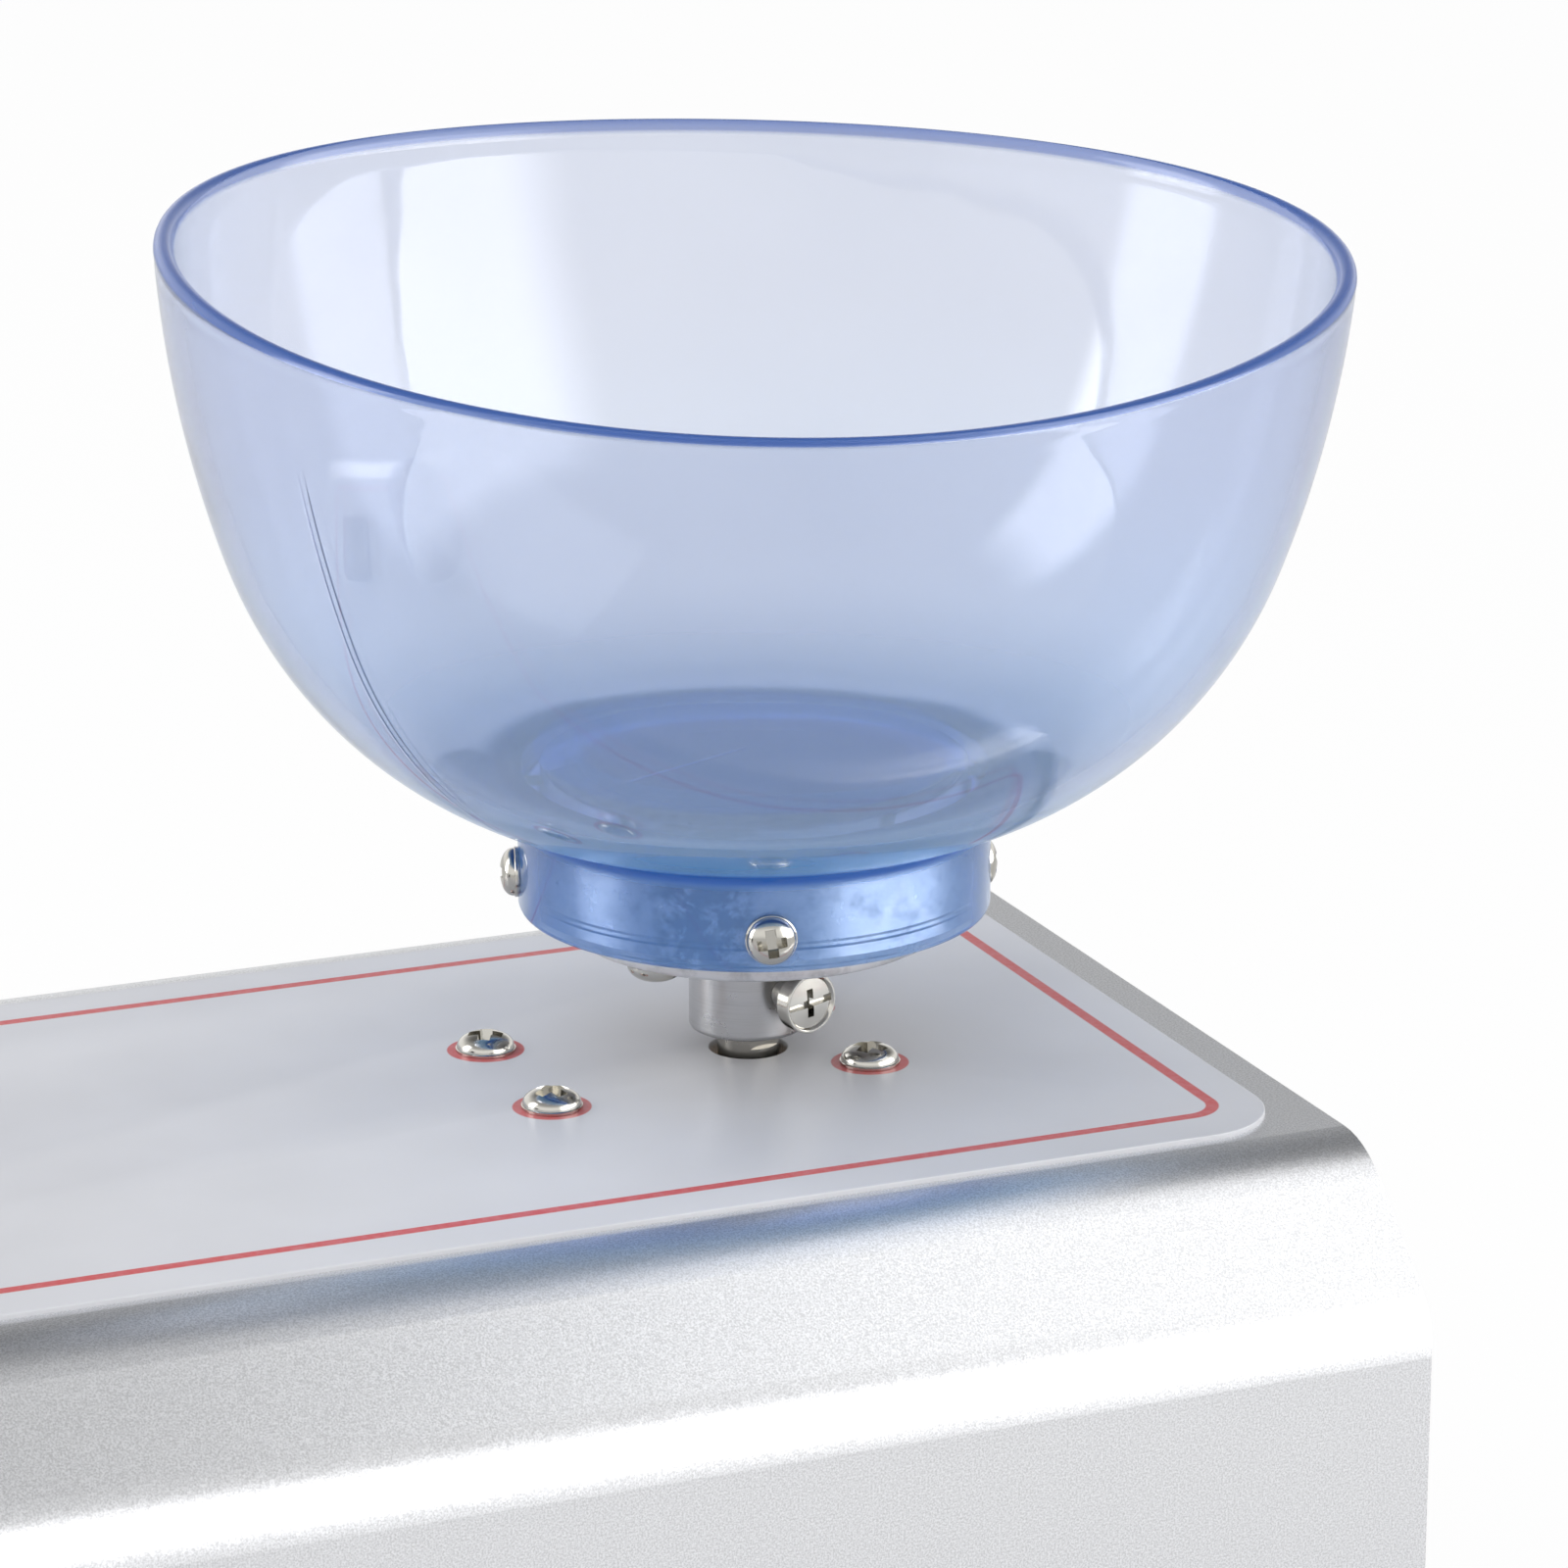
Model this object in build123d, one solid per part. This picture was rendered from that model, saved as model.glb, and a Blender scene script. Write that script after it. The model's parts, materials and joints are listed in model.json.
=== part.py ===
from build123d import *
import os
from math import atan, cos, degrees, pi, radians, sin, sqrt, tan

# Bench mixer for impression material: a long cabinet with the controls at one end and a
# motor-driven bowl over the other end.
# Millimetres, +Z up. Origin: the middle of the machine's footprint, on the table.
# +X points from the controls to the bowl, and the bowl turns about a vertical axis.

# Cabinet
body_length = 200.0
body_width = 120.4
body_height = 72.0           # from the tray's underside to the deck
shoulder_width = 14.2        # the slanted face, seen from above
shoulder_drop = 12.8         # the slanted face, seen from the end
deck_bend = 10.5             # outside bend between deck and slanted face
side_bend = 9.0              # outside bend between slanted face and side
cover_wall = 1.2
tray_wall = 1.2
tray_clearance = 0.3
panel_recess = 1.0           # end panels sit this far inside the cover's ends
lip_height = 14.0
cover_screw_inset = 32.0
cover_screw_rise = 7.5

# Feet
foot_height = 8.0
foot_radius = 8.0
foot_inset_x = 22.0
foot_inset_y = 17.0
foot_recess_radius = 3.6
foot_recess_depth = 4.0

# Printed plate on the deck
plate_thickness = 0.5
plate_width = 81.6
plate_margin_rear = 4.4
plate_margin_front = 8.0
plate_corner = 8.7

# Spindle, hub and bowl carrier
spindle_setback = 43.5       # spindle axis to the cabinet's rear end
shaft_radius = 3.0
shaft_flat = 2.5             # axis to the flat
shaft_rise = 12.0            # shaft end above the plate
deck_hole_radius = 3.84
running_gap = 0.04
hub_radius = 5.8
hub_lift = 2.3
hub_top = 12.9
hub_spigot_radius = 4.0
clamp_angle = -75.0
clamp_rise = 7.0
clamp_reach = 10.0           # axis to the outer face of the clamp screw
clamp_head_radius = 3.0
clamp_head_height = 1.7
clamp_recess = 0.8
carrier_plate_radius = 18.0
carrier_plate_thickness = 2.5
carrier_screw_circle = 14.0
carrier_screw_angle = -155.0
carrier_screw_count = 3

# Bowl
skirt_radius = 22.9
skirt_wall = 1.9
skirt_bottom = 15.0
bowl_seat = 25.0             # ceiling of the skirt's hollow
bowl_shoulder = 24.4         # where the skirt meets the belly
bowl_floor = 30.0
belly_start_angle = 16.7
belly_sweep = 53.65
belly_radius = 41.9
flank_radius = 99.3
bowl_wall = 1.9
floor_blend = 12.0
rim_height = 77.8
rim_tilt = 3.8               # the soft bowl's rim stands higher at the back
rim_tilt_turn = 13.0         # direction of the low side, from -Y towards +X
rim_round = 0.6
bowl_screw_angle = -108.8
bowl_screw_count = 4
bowl_screw_rise = 18.4
bowl_screw_length = 4.6

# Worm gearbox
mount_spacing_x = 33.0
mount_spacing_y = 18.0
mount_offset = 9.0           # spindle to the nearer pair of deck screws
gearbox_length = 46.0
gearbox_overhang = 15.5
gearbox_side_near = 13.0
gearbox_height = 25.0
gearbox_wall = 2.5
gearbox_roof = 3.5
gearbox_lid = 2.0
gearbox_boss = 3.0
gearbox_post = 2.0           # radius of the lid screws' posts in the corners
worm_drop = 13.6             # gearbox top to the worm's axis
gear_module = 0.8
wheel_teeth = 18
worm_pitch_radius = 3.3
addendum = 0.8
dedendum = 1.0
worm_length = 14.0
wheel_width = 4.0
wheel_hub_radius = 5.0
bush_radius = 4.5
bush_flange_radius = 5.5
bush_flange = 1.0
end_float = 0.3

# Motor
can_radius = 12.2
can_length = 30.8
can_wall = 1.0
can_nose = 1.2
motor_shaft_radius = 1.0
motor_boss_radius = 3.0
motor_screw_offset = 8.0
end_cap_thickness = 3.0
magnet_thickness = 2.4
magnet_length = 20.0
magnet_span = 130.0
air_gap = 0.5
core_length = 14.0
core_slots = 5
commutator_radius = 2.6
commutator_length = 4.0
brush_gap = 0.1

# Controls on the deck
control_inset = 38.0         # controls to the cabinet's front end
knob_offset = -20.0
switch_offset = 22.0
knob_radius = 14.0
knob_height = 16.0
knob_lift = 0.8
knob_flutes = 24
flute_radius = 1.0
pot_radius = 8.0
pot_depth = 9.0
pot_bush_radius = 3.5
pot_bush_rise = 4.0
pot_shaft_rise = 13.0
nut_across_flats = 10.0
nut_height = 2.0
washer_thickness = 0.5
switch_length = 21.0
switch_width = 15.0
switch_bezel = 2.0
switch_body_length = 19.0
switch_body_width = 12.8
switch_depth = 13.0
rocker_length = 14.0
rocker_width = 9.0
rocker_gap = 0.35
rocker_pin_radius = 1.2
rocker_tilt = 9.0

# Low-voltage inlet in the rear panel
inlet_offset = 30.0
inlet_rise = 26.0
inlet_barrel_radius = 4.0
inlet_flange_radius = 5.5
inlet_flange = 2.0
inlet_length = 13.0
inlet_bore_radius = 2.85
inlet_bore_depth = 9.5
inlet_pin_radius = 1.05

# Vent slots in the rear panel
vent_count = 7
vent_pitch = 5.0
vent_width = 2.0
vent_length = 22.0
vent_offset = -22.0

# Control board
board_length = 70.0
board_width = 50.0
board_thickness = 1.6
board_rise = 8.0
board_inset = 50.0           # board centre to the cabinet's front end
board_hole_inset = 4.0
terminal_pitch = 5.0
wire_radius = 0.8
wire_bend = 3.5              # bend of a wire close to its terminal
wire_sweep = 6.0             # bend of a wire along its way

# Small fasteners
m3_radius = 1.5
m3_head_radius = 2.97
m3_head_height = 2.0
m25_radius = 1.25
m25_head_radius = 2.5
m25_head_height = 1.7
fit_gap = 0.05

# Levels and places worked out from the sizes above
deck_z = foot_height + body_height
plate_z = deck_z + plate_thickness
deck_under = deck_z - cover_wall
tray_z = foot_height + tray_wall
worm_z = deck_under - worm_drop
half_width = body_width / 2
wheel_pitch_radius = gear_module * wheel_teeth / 2
worm_offset = wheel_pitch_radius + worm_pitch_radius
worm_lead = pi * gear_module
gearbox_side_far = worm_offset + worm_pitch_radius + addendum + gearbox_wall
gear_zone_floor = deck_under - gearbox_height


def polar(radius, angle):
    return (radius * cos(radians(angle)), radius * sin(radians(angle)))


def rod(radius, length):
    """A cylinder standing on the XY plane."""
    return Cylinder(radius, length, align=(Align.CENTER, Align.CENTER, Align.MIN))


def slab(x_size, y_size, z_size):
    """A block standing on the XY plane."""
    return Box(x_size, y_size, z_size, align=(Align.CENTER, Align.CENTER, Align.MIN))


def tube(outer, inner, length):
    return rod(outer, length) - rod(inner, length)


def toward_x(shape):
    """Turns a shape that stands along +Z so that it points along +X."""
    return Rot(0, 90, 0) * shape


def toward_y(shape):
    return Rot(-90, 0, 0) * shape


def nut(across_flats, height, bore):
    hexagon = extrude(RegularPolygon(across_flats / 2, 6, major_radius=False), height)
    return hexagon - rod(bore, height)


def pan_screw(shank_radius, shank_length, head_radius, head_height):
    """A cross-recess pan head screw: the head stands on z=0 and the shank hangs below."""
    head = rod(head_radius, head_height)
    head = fillet(head.edges().group_by(Axis.Z)[-1], head_height * 0.75)
    slot = slab(head_radius * 1.2, head_radius * 0.28, head_height)
    recess = Pos(0, 0, head_height * 0.4) * (slot + Rot(0, 0, 90) * slot)
    shank = Pos(0, 0, -shank_length) * rod(shank_radius, shank_length)
    return head - recess + shank


def m3_screw(length):
    return pan_screw(m3_radius, length, m3_head_radius, m3_head_height)


def m25_screw(length):
    return pan_screw(m25_radius, length, m25_head_radius, m25_head_height)


def group(solids):
    return Compound(children=list(solids))


# Where the long parts lie along X
belly_centre_r = skirt_radius - belly_radius * sin(radians(belly_start_angle))
belly_centre_z = bowl_shoulder + belly_radius * cos(radians(belly_start_angle))
belly_end_angle = belly_start_angle + belly_sweep
flank_centre_r = belly_centre_r + (belly_radius - flank_radius) * sin(radians(belly_end_angle))
flank_centre_z = belly_centre_z + (flank_radius - belly_radius) * cos(radians(belly_end_angle))
rim_reach = flank_centre_r + sqrt(flank_radius**2 - (rim_height - flank_centre_z)**2)
total_length = body_length - spindle_setback + rim_reach
front_x = -total_length / 2
rear_x = front_x + body_length
spindle_x = rear_x - spindle_setback
control_x = front_x + control_inset
board_x = front_x + board_inset
motor_x = spindle_x + gearbox_overhang - gearbox_length
motor_rear_x = motor_x - can_length


def at_spindle(shape):
    """Places a shape drawn about the spindle, with z=0 at the top of the printed plate."""
    return Pos(spindle_x, 0, plate_z) * shape


def deck_screw_places():
    near = spindle_x + mount_offset
    places = []
    for x in (near, near - mount_spacing_x):
        for y in (-mount_spacing_y / 2, mount_spacing_y / 2):
            places.append((x, y))
    return places


def cabinet_outline(inset, base):
    """The cabinet's end view, moved inwards by inset and cut off level at base."""
    slope = atan(shoulder_drop / shoulder_width)
    top = deck_z - inset
    side = half_width - inset
    # The slanted face moves inwards square to itself.
    deck_edge = half_width - shoulder_width - inset * tan(slope / 2)
    side_top = deck_z - shoulder_drop - inset * tan((pi / 2 - slope) / 2)
    points = [(-side, base), (-side, side_top), (-deck_edge, top)]
    points += [(deck_edge, top), (side, side_top), (side, base)]
    bends = [side_bend, deck_bend, deck_bend, side_bend]
    path = FilletPolyline(*points, radius=[bend - inset for bend in bends])
    outline = make_face([*path.edges(), Line(points[-1], points[0])])
    return Plane.YZ * outline


def make_cover():
    outer = extrude(cabinet_outline(0, foot_height), body_length)
    inner = extrude(cabinet_outline(cover_wall, foot_height), body_length)
    cover = Pos(front_x, 0, 0) * (outer - inner)
    drill = Pos(0, 0, deck_under - 1) * rod(deck_hole_radius, cover_wall + 2)
    cover -= Pos(spindle_x, 0, 0) * drill
    for x, y in deck_screw_places():
        cover -= Pos(x, y, deck_under - 1) * rod(m3_radius + 0.1, cover_wall + 2)
    cover -= Pos(control_x, knob_offset, deck_under - 1) * rod(pot_bush_radius + 0.1, cover_wall + 2)
    cover -= Pos(control_x, switch_offset, deck_under - 1) * switch_cutout(cover_wall + 2)
    for place in cover_screw_places():
        cover -= place * Pos(0, 0, -5) * rod(m3_radius + 0.1, 10)
    return cover


def switch_cutout(height):
    return slab(switch_body_length + 0.2, switch_body_width + 0.2, height)


def cover_screw_places():
    """Places on the cabinet's sides, each turned so that +Z points out of the side."""
    places = []
    for x in (front_x + cover_screw_inset, rear_x - cover_screw_inset):
        for side in (-1, 1):
            place = Pos(x, side * half_width, foot_height + cover_screw_rise)
            places.append(place * Rot(-90 * side, 0, 0))
    return places


def make_cover_screws():
    return group(place * m3_screw(7) for place in cover_screw_places())


def foot_places():
    x_near = front_x + foot_inset_x
    x_far = rear_x - foot_inset_x
    y = half_width - foot_inset_y
    return [(x_near, -y), (x_near, y), (x_far, -y), (x_far, y)]


def make_tray():
    """A folded tray: floor, two side lips and the two end panels."""
    inset = cover_wall + tray_clearance
    inner_half = half_width - inset
    length = body_length - 2 * panel_recess
    middle = (front_x + rear_x) / 2
    tray = Pos(middle, 0, foot_height) * slab(length, 2 * inner_half, tray_wall)
    for side in (-1, 1):
        lip = slab(length, tray_wall, lip_height)
        tray += Pos(middle, side * (inner_half - tray_wall / 2), foot_height) * lip
    panel = extrude(cabinet_outline(inset, foot_height), tray_wall)
    tray += Pos(front_x + panel_recess, 0, 0) * panel
    tray += Pos(rear_x - panel_recess - tray_wall, 0, 0) * panel
    for x, y in foot_places():
        tray -= Pos(x, y, foot_height - 1) * rod(m3_radius + 0.1, tray_wall + 2)
    for x, y in board_post_places():
        tray -= Pos(x, y, foot_height - 1) * rod(m3_radius + 0.1, tray_wall + 2)
    for place in cover_screw_places():
        tray -= place * Pos(0, 0, -6) * rod(m3_radius, 6)
    tray -= Pos(rear_x - 5, inlet_offset, inlet_rise) * toward_x(rod(inlet_barrel_radius + 0.1, 10))
    vent = Pos(rear_x - 5, 0, foot_height + body_height / 2) * Box(10, vent_width, vent_length)
    for k in range(vent_count):
        y = vent_offset + (k - (vent_count - 1) / 2) * vent_pitch
        tray -= Pos(0, y, 0) * vent
    return tray


def make_feet():
    foot = Cone(foot_radius - 1, foot_radius, foot_height, align=(Align.CENTER, Align.CENTER, Align.MIN))
    foot -= rod(foot_recess_radius, foot_recess_depth)
    foot -= rod(m3_radius + 0.1, foot_height)
    return group(Pos(x, y, 0) * foot for x, y in foot_places())


def make_foot_screws():
    screw = Rot(180, 0, 0) * m3_screw(foot_height - foot_recess_depth + tray_wall + 3.2)
    return group(Pos(x, y, foot_recess_depth) * screw for x, y in foot_places())


def make_foot_nuts():
    return group(Pos(x, y, tray_z) * nut(5.5, 2.4, m3_radius) for x, y in foot_places())


def make_deck_plate():
    length = body_length - plate_margin_front - plate_margin_rear
    middle = front_x + plate_margin_front + length / 2
    plate = extrude(RectangleRounded(length, plate_width, plate_corner), plate_thickness)
    plate = Pos(middle, 0, deck_z) * plate
    plate -= Pos(spindle_x, 0, deck_z) * rod(deck_hole_radius, plate_thickness)
    for x, y in deck_screw_places():
        plate -= Pos(x, y, deck_z) * rod(m3_radius + 0.1, plate_thickness)
    plate -= Pos(control_x, knob_offset, deck_z) * rod(pot_bush_radius + 0.1, plate_thickness)
    plate -= Pos(control_x, switch_offset, deck_z) * switch_cutout(plate_thickness)
    return plate


def make_deck_screws():
    length = plate_thickness + cover_wall + gearbox_roof + 1.5
    return group(Pos(x, y, plate_z) * m3_screw(length) for x, y in deck_screw_places())


# Spindle, hub and bowl

def clamp_place(reach):
    """A place on the clamp screw's axis, turned so that +Z points away from the spindle."""
    return Rot(0, 0, clamp_angle) * Pos(reach, 0, clamp_rise) * Rot(0, 90, 0)


def make_output_shaft():
    low = gear_zone_floor - gearbox_lid - gearbox_boss + 0.5 - plate_z
    shaft = Pos(0, 0, low) * rod(shaft_radius, shaft_rise - low)
    flat_low = 0.6
    cutter = slab(2 * shaft_radius, 3 * shaft_radius, shaft_rise - flat_low + 1)
    cutter = Pos(shaft_flat + shaft_radius, 0, flat_low) * cutter
    shaft -= Rot(0, 0, clamp_angle) * cutter
    shaft = chamfer(shaft.faces().sort_by(Axis.Z)[-1].edges(), 0.3)
    return at_spindle(shaft) - wheel_pin_bore()


def make_hub():
    hub = Pos(0, 0, hub_lift) * rod(hub_radius, hub_top - hub_lift)
    hub = fillet(hub.edges().group_by(Axis.Z)[0], 0.5)
    hub += Pos(0, 0, hub_top) * rod(hub_spigot_radius, carrier_plate_thickness)
    hub -= Pos(0, 0, hub_lift) * rod(shaft_radius + 0.02, shaft_rise + 0.3 - hub_lift)
    hub -= clamp_place(shaft_radius - 1) * rod(m3_radius + 0.02, hub_radius)
    return at_spindle(hub)


def make_clamp_screw():
    head = rod(clamp_head_radius, clamp_head_height)
    head = fillet(head.edges().group_by(Axis.Z)[-1], 0.5)
    slot = Pos(0, 0, clamp_head_height - clamp_recess) * slab(2 * clamp_head_radius, 0.8, 2)
    cross = Pos(0, 0, clamp_head_height - 1.3 * clamp_recess) * slab(0.8, clamp_head_radius * 1.1, 2)
    underside = clamp_reach - clamp_head_height
    shank = Pos(0, 0, shaft_flat + fit_gap - underside) * rod(m3_radius, underside - shaft_flat - fit_gap)
    return at_spindle(clamp_place(underside) * (head - slot - cross + shank))


def carrier_screw_places():
    step = 360 / carrier_screw_count
    return [carrier_screw_angle + step * k for k in range(carrier_screw_count)]


def bowl_screw_places(reach):
    """Places on the skirt, each turned so that +Z points out of it."""
    places = []
    for k in range(bowl_screw_count):
        turn = Rot(0, 0, bowl_screw_angle + 360 / bowl_screw_count * k)
        places.append(turn * Pos(reach, 0, bowl_screw_rise) * Rot(0, 90, 0))
    return places


def make_carrier_plate():
    plate = rod(carrier_plate_radius, carrier_plate_thickness)
    plate = chamfer(plate.edges().group_by(Axis.Z)[0], 0.4)
    plate -= rod(hub_spigot_radius, carrier_plate_thickness)
    for angle in carrier_screw_places():
        x, y = polar(carrier_screw_circle, angle)
        plate -= Pos(x, y, 0) * rod(m3_radius + 0.1, carrier_plate_thickness)
    return at_spindle(Pos(0, 0, hub_top) * plate)


def make_carrier_core():
    low = hub_top + carrier_plate_thickness
    core = Pos(0, 0, low) * rod(skirt_radius - skirt_wall - fit_gap, bowl_seat - low)
    for angle in carrier_screw_places():
        x, y = polar(carrier_screw_circle, angle)
        core -= Pos(x, y, low) * rod(m3_radius, 7)
    for place in bowl_screw_places(skirt_radius):
        core -= place * Pos(0, 0, -bowl_screw_length - 0.2) * rod(m25_radius, bowl_screw_length + 0.2)
    return at_spindle(core)


def make_carrier_screws():
    screw = Rot(180, 0, 0) * m3_screw(8)
    screws = []
    for angle in carrier_screw_places():
        x, y = polar(carrier_screw_circle, angle)
        screws.append(at_spindle(Pos(x, y, hub_top) * screw))
    return group(screws)


def on_arc(centre_r, centre_z, radius, angle):
    """A point of a bowl arc, where angle is the wall's slope above level."""
    return (centre_r + radius * sin(radians(angle)), centre_z - radius * cos(radians(angle)))


def wall_arc(centre_r, centre_z, radius, start, end):
    points = [on_arc(centre_r, centre_z, radius, a) for a in (start, (start + end) / 2, end)]
    return ThreePointArc(*points)


def make_bowl():
    brim = 88.0
    brim_outer = degrees(pi / 2) + degrees(atan((brim - flank_centre_z) / flank_radius))
    inner_belly = belly_radius - bowl_wall
    inner_flank = flank_radius - bowl_wall
    floor_r = belly_centre_r + sqrt(inner_belly**2 - (belly_centre_z - bowl_floor)**2)
    floor_angle = degrees(atan((floor_r - belly_centre_r) / (belly_centre_z - bowl_floor)))
    skirt_inner = skirt_radius - skirt_wall
    outer_top = on_arc(flank_centre_r, flank_centre_z, flank_radius, brim_outer)
    inner_top = on_arc(flank_centre_r, flank_centre_z, inner_flank, brim_outer)
    outline = [
        Line((0, bowl_floor), (0, bowl_seat)),
        Line((0, bowl_seat), (skirt_inner, bowl_seat)),
        Line((skirt_inner, bowl_seat), (skirt_inner, skirt_bottom)),
        Line((skirt_inner, skirt_bottom), (skirt_radius, skirt_bottom)),
        Line((skirt_radius, skirt_bottom), (skirt_radius, bowl_shoulder)),
        wall_arc(belly_centre_r, belly_centre_z, belly_radius, belly_start_angle, belly_end_angle),
        wall_arc(flank_centre_r, flank_centre_z, flank_radius, belly_end_angle, brim_outer),
        Line(outer_top, inner_top),
        wall_arc(flank_centre_r, flank_centre_z, inner_flank, brim_outer, belly_end_angle),
        wall_arc(belly_centre_r, belly_centre_z, inner_belly, belly_end_angle, floor_angle),
        Line((floor_r, bowl_floor), (0, bowl_floor)),
    ]
    bowl = revolve(Plane.XZ * make_face(outline), Axis.Z)
    floor_edge = bowl.edges().filter_by(GeomType.CIRCLE).sort_by(
        lambda edge: abs(edge.center().Z - bowl_floor) + abs(edge.radius - floor_r))[0]
    bowl = fillet(floor_edge, floor_blend)
    rim_place = Rot(0, 0, rim_tilt_turn) * Pos(0, 0, rim_height) * Rot(rim_tilt, 0, 0)
    bowl -= rim_place * slab(300, 300, 60)
    rim_face = bowl.faces().filter_by(GeomType.PLANE).sort_by(Axis.Z)[-1]
    bowl = fillet(rim_face.edges(), rim_round)
    for place in bowl_screw_places(skirt_radius):
        bowl -= place * Pos(0, 0, -skirt_wall - 1) * rod(m25_radius + 0.1, skirt_wall + 2)
    return at_spindle(bowl)


def make_bowl_screws():
    # Each head is seated on the round skirt, so it stands off by its own sagitta.
    sagitta = skirt_radius - sqrt(skirt_radius**2 - m25_head_radius**2)
    screw = m25_screw(bowl_screw_length)
    seat = rod(m25_head_radius, sagitta) - rod(m25_radius, sagitta)
    spread = skirt_radius + fit_gap
    round_skirt = Pos(0, 0, skirt_bottom) * rod(spread, bowl_seat - skirt_bottom)
    screws = []
    for place in bowl_screw_places(spread):
        ring = place * Pos(0, 0, -sagitta) * seat - round_skirt
        screws.append(at_spindle(place * screw + ring))
    return group(screws)


# Gearbox

def make_gearbox():
    width = gearbox_side_near + gearbox_side_far
    centre_y = (gearbox_side_far - gearbox_side_near) / 2
    centre_x = spindle_x + gearbox_overhang - gearbox_length / 2
    box = Pos(centre_x, centre_y, gear_zone_floor) * slab(gearbox_length, width, gearbox_height)
    box = fillet(box.edges().filter_by(Axis.Z), 2.5)
    pocket = slab(gearbox_length - 2 * gearbox_wall, width - 2 * gearbox_wall, gearbox_height - gearbox_roof)
    box -= Pos(centre_x, centre_y, gear_zone_floor) * pocket
    corners = []
    for x, y in gearbox_lid_places():
        corners.append(Pos(x, y, gear_zone_floor) * rod(gearbox_post, gearbox_height - gearbox_roof))
    for corner in corners:
        box += corner
    for x, y in deck_screw_places():
        box += Pos(x, y, deck_under - gearbox_roof - 2.5) * rod(2.8, 2.5)
        box -= Pos(x, y, deck_under - gearbox_roof - 2) * rod(m3_radius, gearbox_roof + 2)
    for x, y in gearbox_lid_places():
        box -= Pos(x, y, gear_zone_floor) * rod(1.0, 9)
    box -= Pos(spindle_x, 0, deck_under - gearbox_roof) * rod(bush_radius, gearbox_roof)
    bore = Pos(motor_x, worm_offset, worm_z) * toward_x(rod(motor_boss_radius + 0.1, gearbox_wall))
    box -= bore
    for rise in (-motor_screw_offset, motor_screw_offset):
        box -= Pos(motor_x, worm_offset, worm_z + rise) * toward_x(rod(1.1, gearbox_wall))
    return box


def gearbox_lid_places():
    inset = gearbox_post
    x_places = (motor_x + inset, motor_x + gearbox_length - inset)
    y_places = (inset - gearbox_side_near, gearbox_side_far - inset)
    return [(x, y) for x in x_places for y in y_places]


def make_gearbox_lid():
    width = gearbox_side_near + gearbox_side_far
    centre_y = (gearbox_side_far - gearbox_side_near) / 2
    centre_x = spindle_x + gearbox_overhang - gearbox_length / 2
    lid = Pos(centre_x, centre_y, gear_zone_floor - gearbox_lid) * slab(gearbox_length, width, gearbox_lid)
    lid = fillet(lid.edges().filter_by(Axis.Z), 2.5)
    boss_z = gear_zone_floor - gearbox_lid - gearbox_boss
    lid += Pos(spindle_x, 0, boss_z) * rod(bush_radius + 2, gearbox_boss)
    lid -= Pos(spindle_x, 0, boss_z) * rod(bush_radius, gearbox_boss + gearbox_lid)
    for x, y in gearbox_lid_places():
        lid -= Pos(x, y, gear_zone_floor - gearbox_lid) * rod(1.1, gearbox_lid)
    return lid


def make_gearbox_screws():
    screw = Rot(180, 0, 0) * pan_screw(1.0, 8, 1.9, 1.3)
    z = gear_zone_floor - gearbox_lid
    return group(Pos(x, y, z) * screw for x, y in gearbox_lid_places())


def make_upper_bush():
    bore = shaft_radius + running_gap
    bush = tube(bush_radius, bore, gearbox_roof)
    bush += Pos(0, 0, -bush_flange) * tube(bush_flange_radius, bore, bush_flange)
    return Pos(spindle_x, 0, deck_under - gearbox_roof) * bush


def make_lower_bush():
    bore = shaft_radius + running_gap
    depth = gearbox_boss + gearbox_lid
    bush = tube(bush_radius, bore, depth)
    bush += Pos(0, 0, depth) * tube(bush_flange_radius, bore, bush_flange)
    return Pos(spindle_x, 0, gear_zone_floor - depth) * bush


def wheel_pin_bore():
    z = gear_zone_floor + bush_flange + end_float + 3
    return Pos(spindle_x, -wheel_hub_radius - 1, z) * toward_y(rod(0.8, 2 * wheel_hub_radius + 2))


def make_wheel_pin():
    z = gear_zone_floor + bush_flange + end_float + 3
    length = 2 * wheel_hub_radius - 0.4
    return Pos(spindle_x, -length / 2, z) * toward_y(rod(0.78, length))


def tooth_half_width(radius, pitch_radius, share):
    return share / 2 * worm_lead - (radius - pitch_radius) * tan(radians(20))


def make_worm_wheel():
    share = 0.40
    tip = wheel_pitch_radius + addendum * 0.85
    root = wheel_pitch_radius - dedendum
    tip_half = degrees(tooth_half_width(tip, wheel_pitch_radius, share) / tip)
    root_half = degrees(tooth_half_width(root, wheel_pitch_radius, share) / root)
    outline = []
    for k in range(wheel_teeth):
        # A gap between two teeth faces the worm.
        middle = 90 + 360 * (k + 0.5) / wheel_teeth
        outline += [polar(root, middle - root_half), polar(tip, middle - tip_half)]
        outline += [polar(tip, middle + tip_half), polar(root, middle + root_half)]
    face = make_face(Polyline(*outline, close=True)).faces()[0]
    twist = degrees(wheel_width * worm_lead / (2 * pi * worm_pitch_radius) / wheel_pitch_radius)
    rim = Solid.extrude_linear_with_rotation(face, (0, 0, 0), (0, 0, wheel_width), twist)
    rim = Pos(0, 0, worm_z - wheel_width / 2) * Rot(0, 0, -twist / 2) * rim
    low = gear_zone_floor + bush_flange + end_float
    high = deck_under - gearbox_roof - bush_flange - end_float
    wheel = rim + Pos(0, 0, low) * rod(wheel_hub_radius, high - low)
    wheel -= Pos(0, 0, low) * rod(shaft_radius + 0.01, high - low)
    return Pos(spindle_x, 0, 0) * wheel - wheel_pin_bore()


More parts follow.
